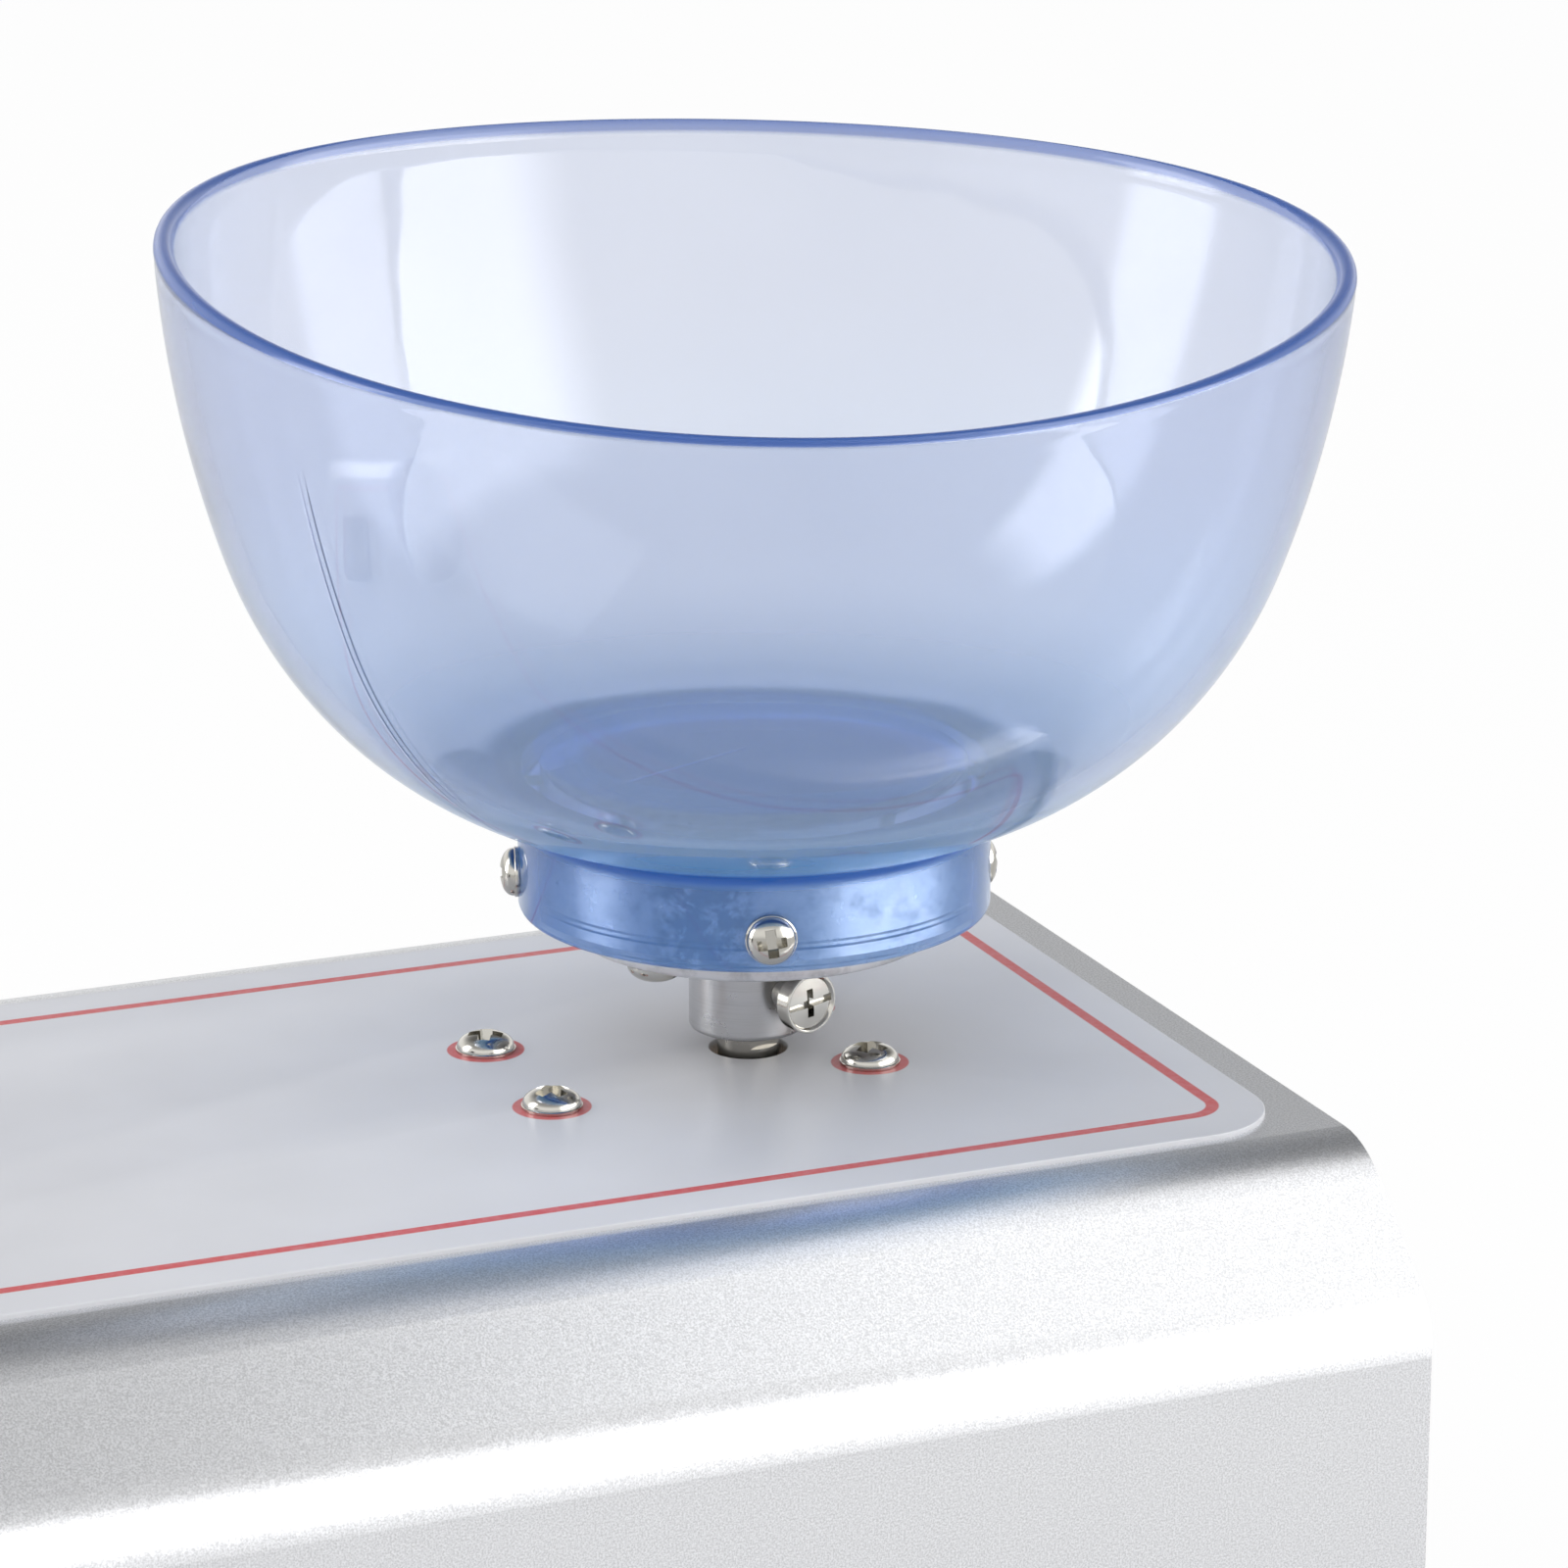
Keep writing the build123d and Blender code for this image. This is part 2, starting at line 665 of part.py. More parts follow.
def make_worm():
    share = 0.38
    outer = worm_pitch_radius + addendum
    root = worm_pitch_radius - dedendum
    tip_half = 360 * tooth_half_width(outer, worm_pitch_radius, share) / worm_lead
    root_half = 360 * tooth_half_width(root, worm_pitch_radius, share) / worm_lead
    steps = 4

    def flank(side):
        points = []
        for k in range(steps + 1):
            part = k / steps
            angle = root_half + (tip_half - root_half) * part
            points.append(polar(root + (outer - root) * part, side * angle))
        return Spline(*points)

    crest = ThreePointArc(polar(outer, -tip_half), polar(outer, 0), polar(outer, tip_half))
    base = ThreePointArc(polar(root, root_half), polar(root, 180), polar(root, -root_half))
    face = make_face([flank(-1), crest, flank(1), base]).faces()[0]
    turns = worm_length / worm_lead
    worm = Solid.extrude_linear_with_rotation(face, (0, 0, 0), (0, 0, worm_length), 360 * turns)
    worm -= rod(motor_shaft_radius + 0.01, worm_length)
    # At the middle of the worm its thread faces the wheel, in the gap between two teeth.
    worm = Rot(0, 0, 270 - 180 * turns) * worm
    return Pos(spindle_x - worm_length / 2, worm_offset, worm_z) * toward_x(worm)


# Motor

def along_motor(x, shape):
    """Places a shape on the motor's axis, pointing along +X from x."""
    return Pos(x, worm_offset, worm_z) * toward_x(shape)


def make_motor_can():
    can = rod(can_radius, can_length)
    can = fillet(can.edges().group_by(Axis.Z)[-1], 1.0)
    can -= rod(can_radius - can_wall, can_length - can_nose)
    can += Pos(0, 0, can_length) * rod(motor_boss_radius, 1.5)
    can -= rod(motor_shaft_radius + running_gap, can_length + 2)
    can = along_motor(motor_rear_x, can)
    for rise in (-motor_screw_offset, motor_screw_offset):
        can -= Pos(motor_x - can_nose, worm_offset, worm_z + rise) * toward_x(rod(1.0, can_nose))
    return can


def make_motor_face_screws():
    screws = []
    for rise in (-motor_screw_offset, motor_screw_offset):
        place = Pos(motor_x + gearbox_wall, worm_offset, worm_z + rise)
        screws.append(place * toward_x(pan_screw(1.0, 3.5, 1.8, 1.0)))
    return group(screws)


def make_motor_end_cap():
    cap = rod(can_radius - can_wall - 0.02, end_cap_thickness)
    cap += Pos(0, 0, -1.2) * rod(can_radius - can_wall - 2, 1.2)
    cap -= Pos(0, 0, -1.2) * rod(motor_shaft_radius + running_gap, end_cap_thickness + 1.2)
    for side in (-1, 1):
        cap -= Pos(0, side * 7, -1.2) * slab(2.4, 0.7, end_cap_thickness + 1.2)
    return along_motor(motor_rear_x, cap)


def make_motor_terminals():
    tabs = []
    for side in (-1, 1):
        tab = Pos(0, side * 7, -5) * slab(2.3, 0.6, end_cap_thickness + 5)
        tabs.append(along_motor(motor_rear_x, tab))
    return group(tabs)


def make_motor_magnets():
    outer = can_radius - can_wall - 0.02
    inner = outer - magnet_thickness
    ring = tube(outer, inner, magnet_length)
    keep = magnet_span / 2
    reach = 3 * can_radius
    wedge_face = Polyline((0, 0), polar(reach, keep), polar(reach, 0), polar(reach, -keep), close=True)
    wedge = extrude(make_face(wedge_face), magnet_length)
    magnets = []
    for turn in (0, 180):
        magnet = ring & (Rot(0, 0, turn) * wedge)
        magnets.append(along_motor(motor_x - can_nose - magnet_length - 1, magnet))
    return group(magnets)


def core_radius():
    return can_radius - can_wall - 0.02 - magnet_thickness - air_gap


def core_start():
    return motor_x - can_nose - magnet_length / 2 - 1 - core_length / 2


def make_armature_core():
    core = rod(core_radius(), core_length)
    for k in range(core_slots):
        turn = Rot(0, 0, 360 / core_slots * k)
        slot = Pos(core_radius() - 2.6, 0, 0) * rod(1.9, core_length)
        mouth = Pos(core_radius(), 0, 0) * slab(3, 0.9, core_length)
        core -= turn * (slot + mouth)
    core -= rod(motor_shaft_radius + 0.01, core_length)
    return along_motor(core_start(), core)


def make_armature_windings():
    overhang = 2.2
    coils = []
    for k in range(core_slots):
        turn = Rot(0, 0, 360 / core_slots * k)
        coil = turn * Pos(core_radius() - 2.6, 0, -overhang) * rod(1.7, core_length + 2 * overhang)
        coils.append(coil)
    rings = tube(core_radius() - 1.4, motor_shaft_radius + 0.6, overhang)
    winding = Pos(0, 0, -overhang) * rings + Pos(0, 0, core_length) * rings
    for coil in coils:
        winding += coil
    return along_motor(core_start(), winding)


def make_commutator():
    commutator = rod(commutator_radius, commutator_length) - rod(motor_shaft_radius + 0.01, commutator_length)
    return along_motor(motor_rear_x + end_cap_thickness + 0.4, commutator)


def make_motor_brushes():
    brushes = []
    reach = 8.0
    width = reach - commutator_radius - brush_gap
    for side in (-1, 1):
        middle = side * (commutator_radius + brush_gap + width / 2)
        brush = Pos(0, middle, 0) * slab(1.8, width, 2.6)
        brushes.append(along_motor(motor_rear_x + end_cap_thickness, brush))
    return group(brushes)


def make_motor_shaft():
    start = motor_rear_x - 0.6
    end = spindle_x + worm_length / 2 + 0.5
    return along_motor(start, rod(motor_shaft_radius, end - start))


# Controls

def at_knob(shape):
    return Pos(control_x, knob_offset, plate_z) * shape


def make_speed_knob():
    knob = Cone(knob_radius, knob_radius - 0.8, knob_height, align=(Align.CENTER, Align.CENTER, Align.MIN))
    knob = fillet(knob.edges().group_by(Axis.Z)[-1], 1.5)
    for k in range(knob_flutes):
        x, y = polar(knob_radius + 0.2, 360 / knob_flutes * (k + 0.5))
        knob -= Pos(x, y, 2.5) * rod(flute_radius, knob_height)
    knob -= rod(7.0, 5.0)
    knob -= rod(shaft_radius + 0.01, pot_shaft_rise - knob_lift + 0.2)
    knob -= knob_pointer_block(0)
    return at_knob(Pos(0, 0, knob_lift) * knob)


def knob_pointer_block(slack):
    """The painted groove's filling, which points from the knob's middle to its edge."""
    block = slab(9.0 - slack, 1.4 - slack, 0.8)
    return Rot(0, 0, knob_rest_angle()) * Pos(knob_radius - 2.6 - 4.5, 0, knob_height - 0.6) * block


def knob_rest_angle():
    # Fully down is at seven o'clock for someone who stands at the control end.
    return 150.0


def make_knob_pointer():
    block = knob_pointer_block(0.04) & slab(60, 60, knob_height)
    return at_knob(Pos(0, 0, knob_lift) * block)


def make_pot_shaft():
    low = plate_z - deck_under + pot_depth - 1
    return at_knob(Pos(0, 0, -low) * rod(shaft_radius, low + pot_shaft_rise))


def make_pot_body():
    top = deck_under - plate_z
    body = Pos(0, 0, top - pot_depth) * rod(pot_radius, pot_depth)
    body += Pos(0, 0, top) * rod(pot_bush_radius, pot_bush_rise - top)
    body += Pos(-pot_radius + 1, 0, top - pot_depth + 1) * slab(6, 12, 1.5)
    body -= Pos(0, 0, top - pot_depth + 0.8) * rod(shaft_radius + running_gap, pot_depth + pot_bush_rise + 3)
    return at_knob(body)


def make_pot_washer():
    return at_knob(tube(6.0, pot_bush_radius + fit_gap, washer_thickness))


def make_pot_nut():
    return at_knob(Pos(0, 0, washer_thickness) * nut(nut_across_flats, nut_height, pot_bush_radius + fit_gap))


def at_switch(shape):
    return Pos(control_x, switch_offset, plate_z) * shape


def rocker_pivot():
    return switch_bezel - 2.4


def make_switch_housing():
    bezel = slab(switch_length, switch_width, switch_bezel)
    bezel = fillet(bezel.edges().filter_by(Axis.Z), 1.5)
    bezel = chamfer(bezel.edges().group_by(Axis.Z)[-1], 0.5)
    housing = bezel + Pos(0, 0, -switch_depth) * slab(switch_body_length, switch_body_width, switch_depth)
    cavity = slab(rocker_length + 2 * rocker_gap + 1.2, rocker_width + 2 * rocker_gap, 9 + switch_bezel)
    housing -= Pos(0, 0, -9) * cavity
    pin_hole = toward_y(rod(rocker_pin_radius + running_gap, rocker_width + 3.2))
    housing -= Pos(0, -(rocker_width + 3.2) / 2, rocker_pivot()) * pin_hole
    for spot in (-6, 0, 6):
        housing -= Pos(spot, 0, -switch_depth) * slab(0.8, 4.7, 3)
    return at_switch(housing)


def make_power_rocker():
    half = rocker_length / 2
    outline = [(-half, 0), (-half, 3.4), (0, 1.9), (half, 3.4), (half, 0), (3, -3.4), (-3, -3.4)]
    profile = Plane.XZ * make_face(Polyline(*outline, close=True))
    rocker = extrude(profile, rocker_width / 2, both=True)
    rocker = fillet(rocker.edges().filter_by(Axis.Y).sort_by(Axis.Z)[-2:], 0.6)
    pin_length = rocker_width + 2.4
    rocker += Pos(0, -pin_length / 2, 0) * toward_y(rod(rocker_pin_radius, pin_length))
    return at_switch(Pos(0, 0, rocker_pivot()) * Rot(0, rocker_tilt, 0) * rocker)


def make_switch_terminals():
    tabs = []
    for spot in (-6, 0, 6):
        tabs.append(at_switch(Pos(spot, 0, -switch_depth - 7) * slab(0.75, 4.6, 10)))
    return group(tabs)


# Inlet

def at_inlet(x, shape):
    return Pos(x, inlet_offset, inlet_rise) * toward_x(shape)


def inlet_face_x():
    return rear_x - panel_recess


def make_inlet_jack():
    panel_inner = inlet_face_x()
    jack = rod(inlet_flange_radius, inlet_flange)
    jack = chamfer(jack.edges().group_by(Axis.Z)[-1], 0.4)
    jack += Pos(0, 0, -inlet_length) * rod(inlet_barrel_radius, inlet_length)
    jack -= Pos(0, 0, inlet_flange - inlet_bore_depth) * rod(inlet_bore_radius, inlet_bore_depth)
    jack -= Pos(0, 0, -inlet_length) * rod(inlet_pin_radius, inlet_length)
    jack -= Pos(0, 2.6, -inlet_length) * slab(2.2, 0.6, 3)
    return at_inlet(panel_inner, jack)


def make_inlet_nut():
    ring = nut(11.0, 2.5, inlet_barrel_radius)
    return at_inlet(inlet_face_x() - tray_wall - 2.5, ring)


def make_inlet_contacts():
    pin = Pos(0, 0, -inlet_length - 4) * rod(inlet_pin_radius, inlet_length + 4 + inlet_flange - 1)
    tab = Pos(0, 2.6, -inlet_length - 4) * slab(2.1, 0.5, 7)
    return group([at_inlet(inlet_face_x(), pin), at_inlet(inlet_face_x(), tab)])


# Control board

def board_post_places():
    x = board_length / 2 - board_hole_inset
    y = board_width / 2 - board_hole_inset
    return [(board_x + i * x, j * y) for i in (-1, 1) for j in (-1, 1)]


def board_under():
    return tray_z + board_rise


def board_top():
    return board_under() + board_thickness


def make_control_board():
    board = Pos(board_x, 0, board_under()) * slab(board_length, board_width, board_thickness)
    for x, y in board_post_places():
        board -= Pos(x, y, board_under()) * rod(m3_radius + 0.1, board_thickness)
    return board


def make_board_posts():
    post = extrude(RegularPolygon(2.75, 6, major_radius=False), board_rise) - rod(m3_radius, board_rise)
    return group(Pos(x, y, tray_z) * post for x, y in board_post_places())


def make_board_screws():
    upper = m3_screw(board_thickness + 3)
    lower = Rot(180, 0, 0) * m3_screw(tray_wall + 3)
    screws = []
    for x, y in board_post_places():
        screws.append(Pos(x, y, board_top()) * upper)
        screws.append(Pos(x, y, foot_height) * lower)
    return group(screws)


def make_heatsink():
    sink = slab(23, 3, 25)
    for k in range(6):
        sink += Pos(-10.5 + k * 4.2, 5, 0) * slab(1.2, 8, 25)
    return Pos(board_x + 6, -14, board_top()) * sink


def make_power_transistor():
    body = slab(10, 4.4, 9.5)
    tab = Pos(0, 1.55, 9.5) * slab(10, 1.3, 6) - Pos(0, 1.55, 13) * Rot(90, 0, 0) * Cylinder(1.6, 6)
    transistor = Pos(0, 0, 4) * (body + tab)
    for side in (-2.54, 0, 2.54):
        transistor += Pos(side, 0, 0) * slab(0.8, 0.5, 4)
    return Pos(board_x + 6, -17.7, board_top()) * transistor


def make_filter_capacitor():
    capacitor = rod(6.3, 20)
    capacitor = fillet(capacitor.edges(), 0.7)
    return Pos(board_x - 2, 12, board_top()) * capacitor


def terminal_spots():
    """The wire entries of the screw terminals, along the board's rear edge."""
    return [terminal_pitch * (k - 2.5) for k in range(6)]


def terminal_x():
    return board_x + board_length / 2 - 6


def make_terminal_block():
    width = 6 * terminal_pitch + 1
    block = slab(8, width, 10) + Pos(-1, 0, 10) * slab(6, width, 2)
    for spot in terminal_spots():
        block -= Pos(2.0, spot, 4) * slab(4, 3, 3.4)
        block -= Pos(-1, spot, 11) * rod(1.7, 1)
    return Pos(terminal_x(), 0, board_top()) * block


def wire(points, radii):
    """A round wire along straight runs joined by arcs."""
    path = FilletPolyline(*points, radius=radii)
    section = Plane(origin=path @ 0, z_dir=path % 0) * Circle(wire_radius)
    return sweep(section, path=path)


def terminal_entry(number):
    """The place where a wire meets its clamp inside the terminal block."""
    return (terminal_x(), terminal_spots()[number], board_top() + 5.7)


def make_motor_leads():
    leads = []
    for number, side in ((4, -1), (5, 1)):
        x, y, z = terminal_entry(number)
        x_start = motor_rear_x - 5
        y_start = worm_offset + side * 7
        x_drop = x_start - 4.5
        points = [(x_start, y_start, worm_z), (x_drop, y_start, worm_z), (x_drop, y, z), (x, y, z)]
        leads.append(wire(points, [wire_bend, wire_bend]))
    return group(leads)


def make_inlet_leads():
    """From the inlet down to the tray's floor, along it and up to the board."""
    leads = []
    floor = tray_z + wire_radius + 0.1
    x_start = inlet_face_x() - inlet_length - 4
    for number, aside in ((0, 0), (1, 2.6)):
        x, y, z = terminal_entry(number)
        y_start = inlet_offset + aside
        points = [(x_start, y_start, inlet_rise), (x_start - 9, y_start, inlet_rise)]
        points += [(x_start - 16, y_start, floor), (x + 26, y, floor)]
        points += [(x + 11, y, z), (x, y, z)]
        leads.append(wire(points, [wire_sweep, wire_sweep, wire_sweep, wire_sweep]))
    return group(leads)


def make_switch_leads():
    leads = []
    level = board_top() + 27
    for number, spot in ((2, 0), (3, 6)):
        x, y, z = terminal_entry(number)
        x_start = control_x + spot
        z_start = plate_z - switch_depth - 7
        points = [(x_start, switch_offset, z_start), (x_start, switch_offset, level)]
        points += [(x + 9, y, level), (x + 9, y, z), (x, y, z)]
        leads.append(wire(points, [wire_sweep, wire_sweep, wire_bend]))
    return group(leads)


def make_pot_leads():
    leads = []
    x_start = control_x - pot_radius - 1
    z_start = deck_under - pot_depth + 1
    for aside in (-4, 0, 4):
        y = knob_offset + aside
        x_end = x_start + 4
        points = [(x_start, y, z_start), (x_start, y, z_start - 14)]
        points += [(x_end, y, board_top() + 14), (x_end, y, board_top())]
        leads.append(wire(points, [wire_sweep, wire_sweep]))
    return group(leads)


def main():
    parts = {
        "cover_shell": make_cover(),
        "base_tray": make_tray(),
        "cover_screws": make_cover_screws(),
        "rubber_feet": make_feet(),
        "foot_screws": make_foot_screws(),
        "foot_nuts": make_foot_nuts(),
        "deck_plate": make_deck_plate(),
        "deck_screws": make_deck_screws(),
        "output_shaft": make_output_shaft(),
        "hub": make_hub(),
        "hub_clamp_screw": make_clamp_screw(),
        "carrier_plate": make_carrier_plate(),
        "carrier_core": make_carrier_core(),
        "carrier_screws": make_carrier_screws(),
        "bowl": make_bowl(),
        "bowl_screws": make_bowl_screws(),
        "gearbox_housing": make_gearbox(),
        "gearbox_lid": make_gearbox_lid(),
        "gearbox_screws": make_gearbox_screws(),
        "upper_bush": make_upper_bush(),
        "lower_bush": make_lower_bush(),
        "worm_wheel": make_worm_wheel(),
        "wheel_pin": make_wheel_pin(),
        "worm": make_worm(),
        "motor_can": make_motor_can(),
        "motor_face_screws": make_motor_face_screws(),
        "motor_end_cap": make_motor_end_cap(),
        "motor_terminals": make_motor_terminals(),
        "motor_magnets": make_motor_magnets(),
        "armature_core": make_armature_core(),
        "armature_windings": make_armature_windings(),
        "commutator": make_commutator(),
        "motor_brushes": make_motor_brushes(),
        "motor_shaft": make_motor_shaft(),
        "speed_knob": make_speed_knob(),
        "knob_pointer": make_knob_pointer(),
        "pot_shaft": make_pot_shaft(),
        "pot_body": make_pot_body(),
        "pot_washer": make_pot_washer(),
        "pot_nut": make_pot_nut(),
        "switch_housing": make_switch_housing(),
        "power_rocker": make_power_rocker(),
        "switch_terminals": make_switch_terminals(),
        "inlet_jack": make_inlet_jack(),
        "inlet_nut": make_inlet_nut(),
        "inlet_contacts": make_inlet_contacts(),
        "control_board": make_control_board(),
        "board_posts": make_board_posts(),
        "board_screws": make_board_screws(),
        "heatsink": make_heatsink(),
        "power_transistor": make_power_transistor(),
        "filter_capacitor": make_filter_capacitor(),
        "terminal_block": make_terminal_block(),
        "motor_leads": make_motor_leads(),
        "inlet_leads": make_inlet_leads(),
        "switch_leads": make_switch_leads(),
        "pot_leads": make_pot_leads(),
    }
    os.makedirs("parts", exist_ok=True)
    for name, shape in parts.items():
        export_step(shape, f"parts/{name}.step")
        print(name)


main()
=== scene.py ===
import json
from math import atan2, cos, degrees, pi, radians, sin, sqrt

import bmesh
import bpy
from mathutils import Matrix, Vector


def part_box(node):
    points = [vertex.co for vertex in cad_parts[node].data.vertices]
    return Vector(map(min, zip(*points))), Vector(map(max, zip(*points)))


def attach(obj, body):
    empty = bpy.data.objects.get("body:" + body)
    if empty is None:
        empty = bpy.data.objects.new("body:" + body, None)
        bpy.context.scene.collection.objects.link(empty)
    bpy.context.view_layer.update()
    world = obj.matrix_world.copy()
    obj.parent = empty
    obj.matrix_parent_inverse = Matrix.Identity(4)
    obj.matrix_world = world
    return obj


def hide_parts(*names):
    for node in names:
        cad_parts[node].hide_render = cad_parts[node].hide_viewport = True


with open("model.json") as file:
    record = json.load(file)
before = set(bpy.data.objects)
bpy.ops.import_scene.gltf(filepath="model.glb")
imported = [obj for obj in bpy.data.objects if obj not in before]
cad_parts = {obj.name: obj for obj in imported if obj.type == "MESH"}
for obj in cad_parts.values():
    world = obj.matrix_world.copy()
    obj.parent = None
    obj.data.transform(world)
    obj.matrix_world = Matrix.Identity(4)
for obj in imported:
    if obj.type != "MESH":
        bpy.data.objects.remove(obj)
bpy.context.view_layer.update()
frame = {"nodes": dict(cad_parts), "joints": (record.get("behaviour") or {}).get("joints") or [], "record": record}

mm = 0.001
joints = {joint["name"]: joint for joint in frame["joints"]}
spindle = Vector(joints["bowl_spin"]["pos_m"])
knobAxis = Vector(joints["speed_turn"]["pos_m"])
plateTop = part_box("deck_plate")[1].z
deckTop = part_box("deck_plate")[0].z
atSpindle = Matrix.Translation((spindle.x, spindle.y, plateTop)) @ Matrix.Scale(mm, 4)
# The bowl and its carrier sit a little off the spindle's axis, to the right as seen here.
collarShift = Vector((0.56, -0.24, 0.0))
# The camera: degrees round from the front and up, lens in mm, and metres from the spindle at the plate
view = {"azimuth": -23.026, "elevation": 16.627, "lens": 144.9, "distance": 0.61719, "aside": 0.003493,
        "above": 0.025606}
print("frame loaded")


# Helpers for shapes

def newObject(bm, name):
    mesh = bpy.data.meshes.new(name)
    bm.to_mesh(mesh)
    bm.free()
    made = bpy.data.objects.new(name, mesh)
    bpy.context.scene.collection.objects.link(made)
    return made


def smoothSides(mesh, angle):
    # smooth shading, with sharp edges where faces meet at more than the angle
    bm = bmesh.new()
    bm.from_mesh(mesh)
    for face in bm.faces:
        face.smooth = True
    for edge in bm.edges:
        edge.smooth = len(edge.link_faces) == 2 and edge.calc_face_angle() < radians(angle)
    bm.to_mesh(mesh)
    bm.free()


def finishPiece(piece, material, body, replaced=(), angle=35):
    piece.data.materials.append(material)
    smoothSides(piece.data, angle)
    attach(piece, body)
    if replaced:
        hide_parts(*replaced)
    return piece


def spinProfile(points, steps=96, tags=()):
    # turns a closed outline of (radius, height) points about +Z into a solid
    bm = bmesh.new()
    layers = [bm.verts.layers.float.new(name) for name, _ in tags]
    verts = [bm.verts.new((r, 0, z)) for r, z in points]
    for layer, (_, values) in zip(layers, tags):
        for v, value in zip(verts, values):
            v[layer] = value
    edges = [bm.edges.new(pair) for pair in zip(verts, verts[1:] + verts[:1])]
    bmesh.ops.spin(bm, geom=verts + edges, cent=(0, 0, 0), axis=(0, 0, 1), dvec=(0, 0, 0),
                   angle=2 * pi, steps=steps, use_merge=True, use_duplicate=False)
    bmesh.ops.remove_doubles(bm, verts=bm.verts, dist=1e-5)
    bmesh.ops.delete(bm, geom=[e for e in bm.edges if not e.link_faces], context="EDGES")
    bmesh.ops.recalc_face_normals(bm, faces=bm.faces)
    return bm


def arcPoints(centre, radius, start, end, steps):
    # points on an arc, with angles in degrees from +R towards +Z
    turns = [radians(start + (end - start) * k / steps) for k in range(steps + 1)]
    return [(centre[0] + radius * cos(a), centre[1] + radius * sin(a)) for a in turns]


def blockShape(size, centre, taper=(1, 1)):
    # a block whose lower end is narrower by the taper
    bm = bmesh.new()
    bmesh.ops.create_cube(bm, size=1)
    bmesh.ops.scale(bm, vec=size, verts=bm.verts)
    low = [v for v in bm.verts if v.co.z < 0]
    bmesh.ops.scale(bm, vec=(taper[0], taper[1], 1), verts=low)
    bmesh.ops.translate(bm, vec=centre, verts=bm.verts)
    return bm


def cutAway(piece, cutter):
    change = piece.modifiers.new("cut", "BOOLEAN")
    change.operation = "DIFFERENCE"
    change.solver = "EXACT"
    change.object = cutter
    graph = bpy.context.evaluated_depsgraph_get()
    mesh = bpy.data.meshes.new_from_object(piece.evaluated_get(graph))
    piece.modifiers.remove(change)
    piece.data = mesh
    bpy.data.objects.remove(cutter)


def copiesOf(shape, places, name):
    # one mesh with a copy of the shape at each place
    bm = bmesh.new()
    for place in places:
        one = shape.data.copy()
        one.transform(place)
        bm.from_mesh(one)
    bpy.data.objects.remove(shape)
    return newObject(bm, name)


# Helpers for materials

def newMaterial(name, color, roughness, metallic=0.0):
    material = bpy.data.materials.new(name)
    material.use_nodes = True
    shader = material.node_tree.nodes["Principled BSDF"]
    shader.inputs["Base Color"].default_value = (*color, 1)
    shader.inputs["Roughness"].default_value = roughness
    shader.inputs["Metallic"].default_value = metallic
    return material, material.node_tree, shader


def link(tree, value, socket):
    if isinstance(value, (int, float)):
        socket.default_value = value
    elif isinstance(value, (tuple, Vector)):
        socket.default_value = tuple(value)
    else:
        tree.links.new(value, socket)


def objectPlace(tree, location=(0, 0, 0), scale=(1, 1, 1)):
    coords = tree.nodes.new("ShaderNodeTexCoord")
    mapping = tree.nodes.new("ShaderNodeMapping")
    mapping.vector_type = "POINT"
    mapping.inputs["Location"].default_value = location
    mapping.inputs["Scale"].default_value = scale
    tree.links.new(coords.outputs["Object"], mapping.inputs["Vector"])
    return mapping.outputs["Vector"]


def noise(tree, place, scale, detail=2.0, roughness=0.5, distortion=0.0):
    made = tree.nodes.new("ShaderNodeTexNoise")
    made.inputs["Scale"].default_value = scale
    made.inputs["Detail"].default_value = detail
    made.inputs["Roughness"].default_value = roughness
    made.inputs["Distortion"].default_value = distortion
    tree.links.new(place, made.inputs["Vector"])
    return made.outputs["Fac"]


def ramp(tree, value, stops):
    made = tree.nodes.new("ShaderNodeValToRGB")
    elements = made.color_ramp.elements
    while len(elements) < len(stops):
        elements.new(0.5)
    for element, (place, color) in zip(elements, stops):
        element.position = place
        color = (color,) * 3 if isinstance(color, (int, float)) else color
        element.color = (*color, 1)
    tree.links.new(value, made.inputs["Fac"])
    return made.outputs["Color"]


def calc(tree, operation, a, b=0.0, c=0.0, clamp=False):
    made = tree.nodes.new("ShaderNodeMath")
    made.operation = operation
    made.use_clamp = clamp
    for value, socket in zip((a, b, c), made.inputs):
        link(tree, value, socket)
    return made.outputs["Value"]


def vectorCalc(tree, operation, a, b=(0, 0, 0)):
    made = tree.nodes.new("ShaderNodeVectorMath")
    made.operation = operation
    link(tree, a, made.inputs[0])
    link(tree, b, made.inputs[1])
    return made.outputs["Value" if operation in ("LENGTH", "DOT_PRODUCT") else "Vector"]


def parts(tree, vector):
    made = tree.nodes.new("ShaderNodeSeparateXYZ")
    tree.links.new(vector, made.inputs["Vector"])
    return made.outputs


def fade(tree, value, start, end):
    # 0 before start and 1 past end, smooth between; start may be the larger
    made = tree.nodes.new("ShaderNodeMapRange")
    made.interpolation_type = "SMOOTHSTEP"
    made.inputs["From Min"].default_value = min(start, end)
    made.inputs["From Max"].default_value = max(start, end)
    made.inputs["To Min"].default_value = 0.0 if start < end else 1.0
    made.inputs["To Max"].default_value = 1.0 if start < end else 0.0
    tree.links.new(value, made.inputs["Value"])
    return made.outputs["Result"]


def tagged(tree, name):
    # a share from 0 to 1 stored with the piece's vertices
    made = tree.nodes.new("ShaderNodeAttribute")
    made.attribute_name = name
    return made.outputs["Fac"]


